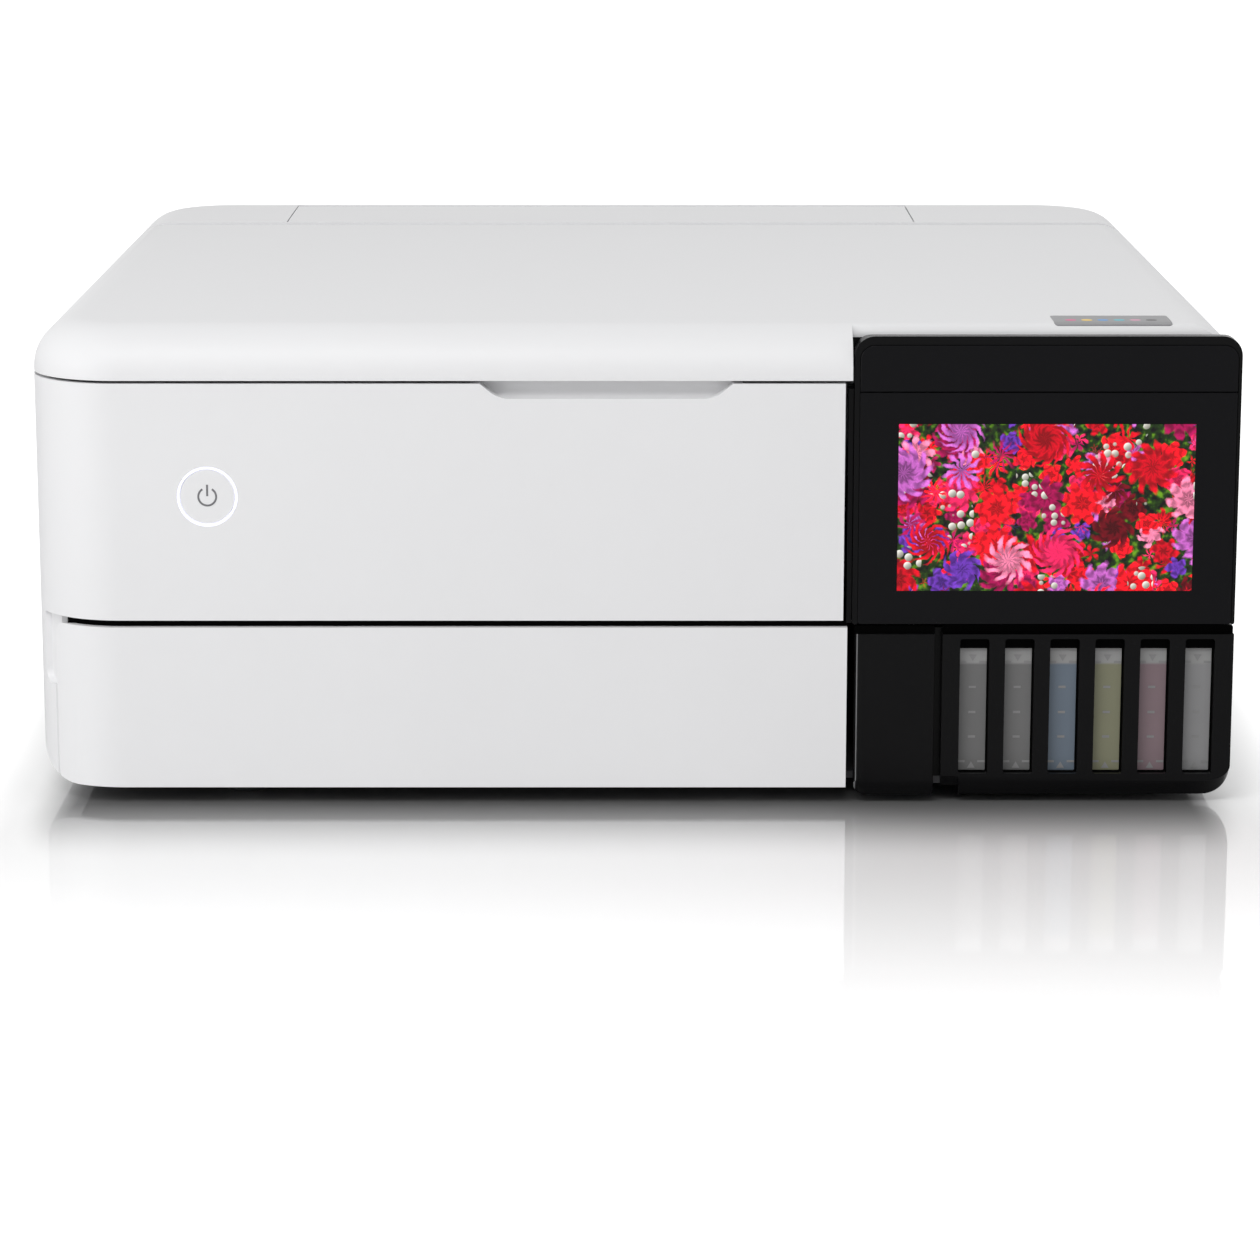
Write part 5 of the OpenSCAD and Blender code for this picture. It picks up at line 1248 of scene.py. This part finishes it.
for number, (mid, ink) in enumerate(zip(tank_mids, INKS), start=1):
    tank = common(block("tank", (mid - tank_half, tank_front, tank_floor), (mid + tank_half, tank_back, tank_top)),
                  body_block(wall + 0.3, top))
    add(tank, disc("neck", (mid, neck_y), 3.5, "z", tank_top - 0.5, tank_top + 4.0, 32))
    cut(tank, disc("mouth", (mid, neck_y), 2.4, "z", tank_top - 3.0, tank_top + 5.0, 24))
    for side in (-1, 1):
        add(tank, block("lug", (mid + side * 5.6 - 1, cap_axis[0] - 2, tank_top - 0.5),
                        (mid + side * 5.6 + 1, cap_axis[0] + 2, cap_axis[1] + 1.5)))
    add(tank, disc("cap_pin", cap_axis, 1.0, "x", mid - 5.5, mid + 5.5, 16))
    place(tank, "tank_%d" % number, "chassis", "tank_plastic", tank_plastic("ink_%d" % number, ink),
          replaces=["ink_tanks"] if number == 1 else (), width=0.4)
    half = window_w / 2
    marks = [mark("tick", [(mid - 1.2, z - 0.4), (mid + 1.2, z - 0.4), (mid + 1.2, z + 0.4), (mid - 1.2, z + 0.4)])
             for z in (22.6, 31.1, 39.8)]
    for z in (14.0, 48.4):
        for side in (-1, 1):
            x0, x1 = sorted((mid + side * half, mid + side * (half - 2.5)))
            marks.append(mark("bar", [(x0, z - 0.35), (x1, z - 0.35), (x1, z + 0.35), (x0, z + 0.35)]))
    marks.append(mark("full", [(mid - 1.3, 50.9), (mid + 1.3, 50.9), (mid, 48.7)]))
    marks.append(mark("empty", [(mid - 1.3, 11.7), (mid + 1.3, 11.7), (mid, 13.9)]))
    first = marks[0]
    joined = bmesh.new()
    for other in marks:
        joined.from_mesh(other.data)
    joined.to_mesh(first.data)
    joined.free()
    for other in marks[1:]:
        bpy.data.objects.remove(other)
    place(first, "tank_marks_%d" % number, "chassis", "tank_plastic", mark_highlight_grey)
print("tanks at", [round(m, 1) for m in tank_mids])

# %% [markdown]
# ## Inner works
# What lies inside is carried over from the construction: each node's mesh is merged, its flat faces
# are joined, and its edges are eased by a small bevel. The body comes from the record, so it
# stays the same as in the construction.

# %% Eased copies
record = frame["record"]
body_of_node = {name: body for body, names in record["behaviour"]["bodies"].items() for name in names}
slot_of_node = {part["node"]: part["material_slot"] for part in record["subparts"]}


def eased(node_name, material, width=0.3, segments=2, replaced=True):
    """Copy of a CAD node's mesh with eased edges, which stands for the node."""
    source = frame["nodes"][node_name]
    mesh = source.data.copy()
    mesh.transform(source.matrix_world)
    piece = bpy.data.objects.new(node_name + "_piece", mesh)
    objects.link(piece)
    return place(piece, node_name + "_piece", body_of_node[node_name], slot_of_node[node_name], material,
                 replaces=[node_name] if replaced else (), width=width, segments=segments)


# %% Finishes inside
glass = bpy.data.materials.new("glass")
glass.use_nodes = True
glass_shader = glass.node_tree.nodes["Principled BSDF"]
glass_shader.inputs["Base Color"].default_value = (0.90, 0.96, 0.94, 1.0)
glass_shader.inputs["Roughness"].default_value = 0.02
glass_shader.inputs["Transmission Weight"].default_value = 0.92
glass_shader.inputs["IOR"].default_value = 1.5
frosted = finish("frosted_tube", (0.16, 0.16, 0.17), moulded_grain, 0.004, specular=0.4,
                 low_roughness=0.25, high_roughness=0.35)
board_green = finish("board_green", (0.015, 0.11, 0.045), moulded_grain, 0.01, specular=0.4, coat=0.2,
                     grain=0.9, drift=0.08, low_roughness=0.35, high_roughness=0.5, shade=0.35)
copper = finish("contact_metal", (0.72, 0.55, 0.30), drawn_lines, 0.002, metallic=1.0,
                low_roughness=0.25, high_roughness=0.35)
lamp_white = finish("lamp_strip", (0.80, 0.84, 0.88), moulded_grain, 0.002, coat=0.4,
                    low_roughness=0.15, high_roughness=0.25)


def make_encoder_film():
    """Clear film with fine dark lines across X."""
    material = finish("encoder_film", (0.60, 0.60, 0.60), moulded_grain, 0.001, low_roughness=0.15, high_roughness=0.25)
    tree = material.node_tree
    tint = tree.nodes["Principled BSDF"].inputs["Base Color"].links[0].from_node
    coords = node(tree, "ShaderNodeTexCoord", (-1100, 500))
    lines = node(tree, "ShaderNodeTexWave", (-900, 500), wave_type="BANDS", bands_direction="X")
    lines.inputs["Scale"].default_value = 0.8 / MM
    tree.links.new(coords.outputs["Object"], lines.inputs["Vector"])
    tree.links.new(ramp(tree, lines.outputs["Fac"], [(0.35, (0.05, 0.05, 0.05)), (0.65, (0.62, 0.62, 0.62))], (-700, 500)),
                   tint.inputs["A"])
    return material


encoder_film = make_encoder_film()

# %% Nodes carried over
INSIDE = {
    "base_pan": (dark_abs, 0.4), "rubber_feet": (rubber, 0.8), "feed_hopper": (dark_abs, 0.3),
    "panel_bay": (black_abs, 0.2), "lid_hinges": (motor_steel, 0.4), "power_supply": (dark_abs, 0.8),
    "mains_inlet": (black_abs, 0.3), "rear_ports": (steel, 0.2), "inner_frame": (motor_steel, 0.2),
    "guide_rails": (steel, 0.3), "encoder_strip": (encoder_film, 0.0), "drive_belts": (rubber, 0.1),
    "drive_motors": (motor_steel, 0.6), "platen": (dark_abs, 0.3), "capping_station": (dark_abs, 0.3),
    "card_reader": (black_abs, 0.2), "ink_tubes": (frosted, 0.3), "scanner_housing": (grey_abs, 0.4),
    "scanner_glass": (glass, 0.2), "scan_rail": (steel, 0.3), "scan_bar": (dark_abs, 0.3),
    "document_mat": (mat_white, 0.5), "display_module": (dark_abs, 0.1), "paper_cassette": (dark_abs, 0.4),
    "cassette_guide_left": (grey_abs, 0.3), "cassette_guide_right": (grey_abs, 0.3),
    "output_tray": (dark_abs, 0.4), "tray_extension": (dark_abs, 0.3), "print_carriage": (dark_abs, 0.4),
    "print_head": (steel, 0.2), "motor_pulley": (grey_abs, 0.2), "idler_pulley": (grey_abs, 0.2),
    "feed_roller": (steel, 0.2), "exit_roller": (rubber, 0.2), "maintenance_box": (grey_abs, 0.5),
    "feeder_guide_left": (grey_abs, 0.3), "feeder_guide_right": (grey_abs, 0.3),
}
for node_name, (material, width) in INSIDE.items():
    eased(node_name, material, width)
for number in range(1, 7):
    eased("tank_cap_%d" % number, black_abs, 0.35)
print("eased nodes:", len(INSIDE) + 6)

# %% [markdown]
# The main board is a plate with its parts standing on it. Each part is a block of its own: two chips
# in black resin, a coil, and a row of small capacitors.

# %% Main board
board_low, board_high = reach("main_board")
board = eased("main_board", board_green, 0.0)
inlet_low, inlet_high = reach("mains_inlet")
inlet_x = (inlet_low.x + inlet_high.x) / 2
board_z = 66.0
resin = finish("chip_resin", (0.020, 0.020, 0.022), moulded_grain, 0.01, specular=0.4, low_roughness=0.4, high_roughness=0.5)
PARTS = [(-10.0, 12.0, 28.0, 28.0, 6.0), (32.0, 6.0, 18.0, 18.0, 4.0), (-25.0, 50.0, 12.0, 16.0, 14.0)]
for number, (dx, dy, w, d, h) in enumerate(PARTS, start=1):
    x0, y0 = inlet_x + dx, deck_low.y + dy
    chip = block("chip", (x0 - 0.1, y0 - 0.1, board_z + 0.5), (x0 + w + 0.1, y0 + d + 0.1, board_z + h + 0.1))
    place(chip, "board_part_%d" % number, "chassis", "dark_plastic", resin if number < 3 else motor_steel, width=0.5)
for number in range(5):
    x0 = inlet_x + 62.0 + number * 9.0
    can = disc("can", (x0, deck_low.y + 20.0 + (number % 2) * 6), 2.6, "z", board_z + 1.2, board_z + 8.5, 24)
    place(can, "board_can_%d" % (number + 1), "chassis", "motor_metal", steel, width=0.3)

# %% [markdown]
# The six rear screws have flat heads with a cross recess, cut by two flat blades.

# %% Screws
for number, (screw_x, screw_z) in enumerate(screw_places, start=1):
    screw = disc("head", (screw_x, screw_z), screw_head_r, "y", rear - screw_head_h, rear - 0.02, 32)
    for w, h in ((2.0, 0.35), (0.35, 2.0)):
        cut(screw, block("recess", (screw_x - w, rear - 0.75, screw_z - h), (screw_x + w, rear + 1, screw_z + h)))
    add(screw, disc("shank", (screw_x, screw_z), screw_r, "y", rear - 9.0, rear - screw_head_h + 0.1, 20))
    place(screw, "screw_%d" % number, "chassis", "steel", steel, replaces=["screws"] if number == 1 else (), width=0.12)
print("board and screws done")

# %% [markdown]
# ## Studio
# A plain white floor with a faint polish, a white world behind, and soft lamps: a large one above and
# in front, and two at the sides. The camera sees floor and world as pure white, because the floor
# glows for camera rays alone. The glow grows with the distance from the object, whose shadow and mirror
# image stay on the near floor. Round the footprint the floor's colour is also darkened for camera and
# glossy rays: a painted contact shadow.

# %% Floor
NEAR_GLOW, FAR_GLOW = 0.0, 0.55
GLOW_REACH, SIDE_REACH = 380.0, 45.0
# painted contact shadow: near the footprint the floor's colour falls to the low value, and rises to 0.93 over the reach
# in mm
PAINTED_SHADOW_LOW, PAINTED_SHADOW_REACH, SIDE_FALL, FOOT_IN = 0.15, 72.0, 4.0, 14.0
floor_size = 12000.0
floor_bm = bmesh.new()
bmesh.ops.create_grid(floor_bm, x_segments=1, y_segments=1, size=floor_size / 2)
floor = write_mesh(floor_bm, "floor")
floor_white = bpy.data.materials.new("floor_white")
floor_white.use_nodes = True
floor_tree = floor_white.node_tree
floor_shader = floor_tree.nodes["Principled BSDF"]
floor_shader.inputs["Base Color"].default_value = (0.93, 0.93, 0.93, 1.0)
floor_shader.inputs["Roughness"].default_value = 0.04
floor_shader.inputs["Specular IOR Level"].default_value = 0.5
floor_shader.inputs["Emission Strength"].default_value = 1.0
floor_coords = node(floor_tree, "ShaderNodeTexCoord", (-1200, -300))
floor_away = node(floor_tree, "ShaderNodeVectorMath", (-1000, -300), operation="ABSOLUTE")
floor_past = node(floor_tree, "ShaderNodeVectorMath", (-800, -300), operation="SUBTRACT")
floor_past.inputs[1].default_value = (right * MM, rear * MM, 0.0)
floor_parts = node(floor_tree, "ShaderNodeSeparateXYZ", (-600, -300))
floor_side = node(floor_tree, "ShaderNodeMath", (-500, -150), operation="MULTIPLY")
floor_side.inputs[1].default_value = GLOW_REACH / SIDE_REACH
floor_far = node(floor_tree, "ShaderNodeMath", (-450, -300), operation="MAXIMUM")
floor_path = node(floor_tree, "ShaderNodeLightPath", (-300, -600))
# painted contact shadow: the floor's colour by distance from the footprint
floor_painted_shadow = node(floor_tree, "ShaderNodeMapRange", (-500, 300), interpolation_type="SMOOTHSTEP")
floor_painted_shadow.inputs["From Min"].default_value = -10.0 * MM
floor_painted_shadow.inputs["From Max"].default_value = PAINTED_SHADOW_REACH * MM
floor_painted_shadow.inputs["To Min"].default_value = PAINTED_SHADOW_LOW
floor_painted_shadow.inputs["To Max"].default_value = 0.93
floor_rise = node(floor_tree, "ShaderNodeMapRange", (-300, -300), interpolation_type="SMOOTHSTEP")
floor_rise.inputs["From Max"].default_value = GLOW_REACH * MM
floor_rise.inputs["To Min"].default_value = NEAR_GLOW
floor_rise.inputs["To Max"].default_value = FAR_GLOW
floor_glow = node(floor_tree, "ShaderNodeMath", (-150, -400), operation="MULTIPLY")
floor_tree.links.new(floor_coords.outputs["Object"], floor_away.inputs[0])
floor_tree.links.new(floor_away.outputs[0], floor_past.inputs[0])
floor_tree.links.new(floor_past.outputs[0], floor_parts.inputs[0])
floor_tree.links.new(floor_parts.outputs["X"], floor_side.inputs[0])
floor_tree.links.new(floor_side.outputs[0], floor_far.inputs[0])
floor_tree.links.new(floor_parts.outputs["Y"], floor_far.inputs[1])
floor_tree.links.new(floor_far.outputs[0], floor_rise.inputs["Value"])
floor_corner = node(floor_tree, "ShaderNodeVectorMath", (-800, 300), operation="SUBTRACT")
floor_corner.inputs[1].default_value = ((right - FOOT_IN) * MM, rear * MM, 1.0)
floor_out = node(floor_tree, "ShaderNodeVectorMath", (-650, 300), operation="MAXIMUM")
floor_wide = node(floor_tree, "ShaderNodeVectorMath", (-500, 450), operation="MULTIPLY")
floor_wide.inputs[1].default_value = (SIDE_FALL, 1.0, 0.0)
floor_near = node(floor_tree, "ShaderNodeVectorMath", (-350, 450), operation="LENGTH")
floor_seen = node(floor_tree, "ShaderNodeMix", (-200, 300), data_type="FLOAT")
floor_seen.inputs["A"].default_value = 0.75
floor_tree.links.new(floor_away.outputs[0], floor_corner.inputs[0])
floor_tree.links.new(floor_corner.outputs[0], floor_out.inputs[0])
floor_tree.links.new(floor_out.outputs[0], floor_wide.inputs[0])
floor_tree.links.new(floor_wide.outputs[0], floor_near.inputs[0])
floor_tree.links.new(floor_near.outputs["Value"], floor_painted_shadow.inputs["Value"])
# camera and glossy rays see the painted contact shadow, other rays a plain 0.75
floor_mirror = node(floor_tree, "ShaderNodeMath", (-200, 500), operation="MAXIMUM")
floor_tree.links.new(floor_path.outputs["Is Camera Ray"], floor_mirror.inputs[0])
floor_tree.links.new(floor_path.outputs["Is Glossy Ray"], floor_mirror.inputs[1])
floor_tree.links.new(floor_mirror.outputs[0], floor_seen.inputs[0])
floor_tree.links.new(floor_painted_shadow.outputs["Result"], floor_seen.inputs["B"])
floor_tree.links.new(floor_seen.outputs["Result"], floor_shader.inputs["Base Color"])
floor_tree.links.new(floor_rise.outputs["Result"], floor_glow.inputs[0])
floor_tree.links.new(floor_path.outputs["Is Camera Ray"], floor_glow.inputs[1])
floor_tree.links.new(floor_glow.outputs[0], floor_shader.inputs["Emission Color"])
floor.data.materials.append(floor_white)

# %% World
WORLD_LIGHT = 0.50
world = bpy.data.worlds.new("studio")
bpy.context.scene.world = world
world.use_nodes = True
world_tree = world.node_tree
background = world_tree.nodes["Background"]
background.inputs["Color"].default_value = (1.0, 1.0, 1.0, 1.0)
path = node(world_tree, "ShaderNodeLightPath", (-800, 0))
seen = node(world_tree, "ShaderNodeMath", (-400, 0), operation="MAXIMUM")
level = node(world_tree, "ShaderNodeMapRange", (-200, 0))
level.inputs["To Min"].default_value = WORLD_LIGHT
level.inputs["To Max"].default_value = 1.0
world_tree.links.new(path.outputs["Is Camera Ray"], seen.inputs[0])
world_tree.links.new(path.outputs["Is Transmission Ray"], seen.inputs[1])
shiny = node(world_tree, "ShaderNodeMath", (-300, 150), operation="MAXIMUM")
world_tree.links.new(seen.outputs[0], shiny.inputs[0])
world_tree.links.new(path.outputs["Is Glossy Ray"], shiny.inputs[1])
world_tree.links.new(shiny.outputs[0], level.inputs["Value"])
world_tree.links.new(level.outputs["Result"], background.inputs["Strength"])


# %% Lamps
def softbox(name, at, aim, size, watts):
    """Rectangular lamp at a point, aimed at another, in millimetres."""
    lamp = bpy.data.lights.new(name, "AREA")
    lamp.shape = "RECTANGLE"
    lamp.size, lamp.size_y = size[0] * MM, size[1] * MM
    lamp.energy = watts
    made = bpy.data.objects.new(name, lamp)
    objects.link(made)
    made.location = Vector(at) * MM
    made.rotation_euler = (Vector(aim) - Vector(at)).to_track_quat("-Z", "Y").to_euler()
    return made


middle = (0.0, 0.0, 80.0)
softbox("key", (-350, -1350, 1420), middle, (1000, 600), 12.2)
softbox("left_fill", (-1350, -1050, 500), middle, (900, 900), 7.5)
softbox("right_fill", (1600, -300, 700), middle, (900, 900), 3)
softbox("rear_top", (200, 1100, 1500), (0, 60, 160), (1400, 700), 1.4)
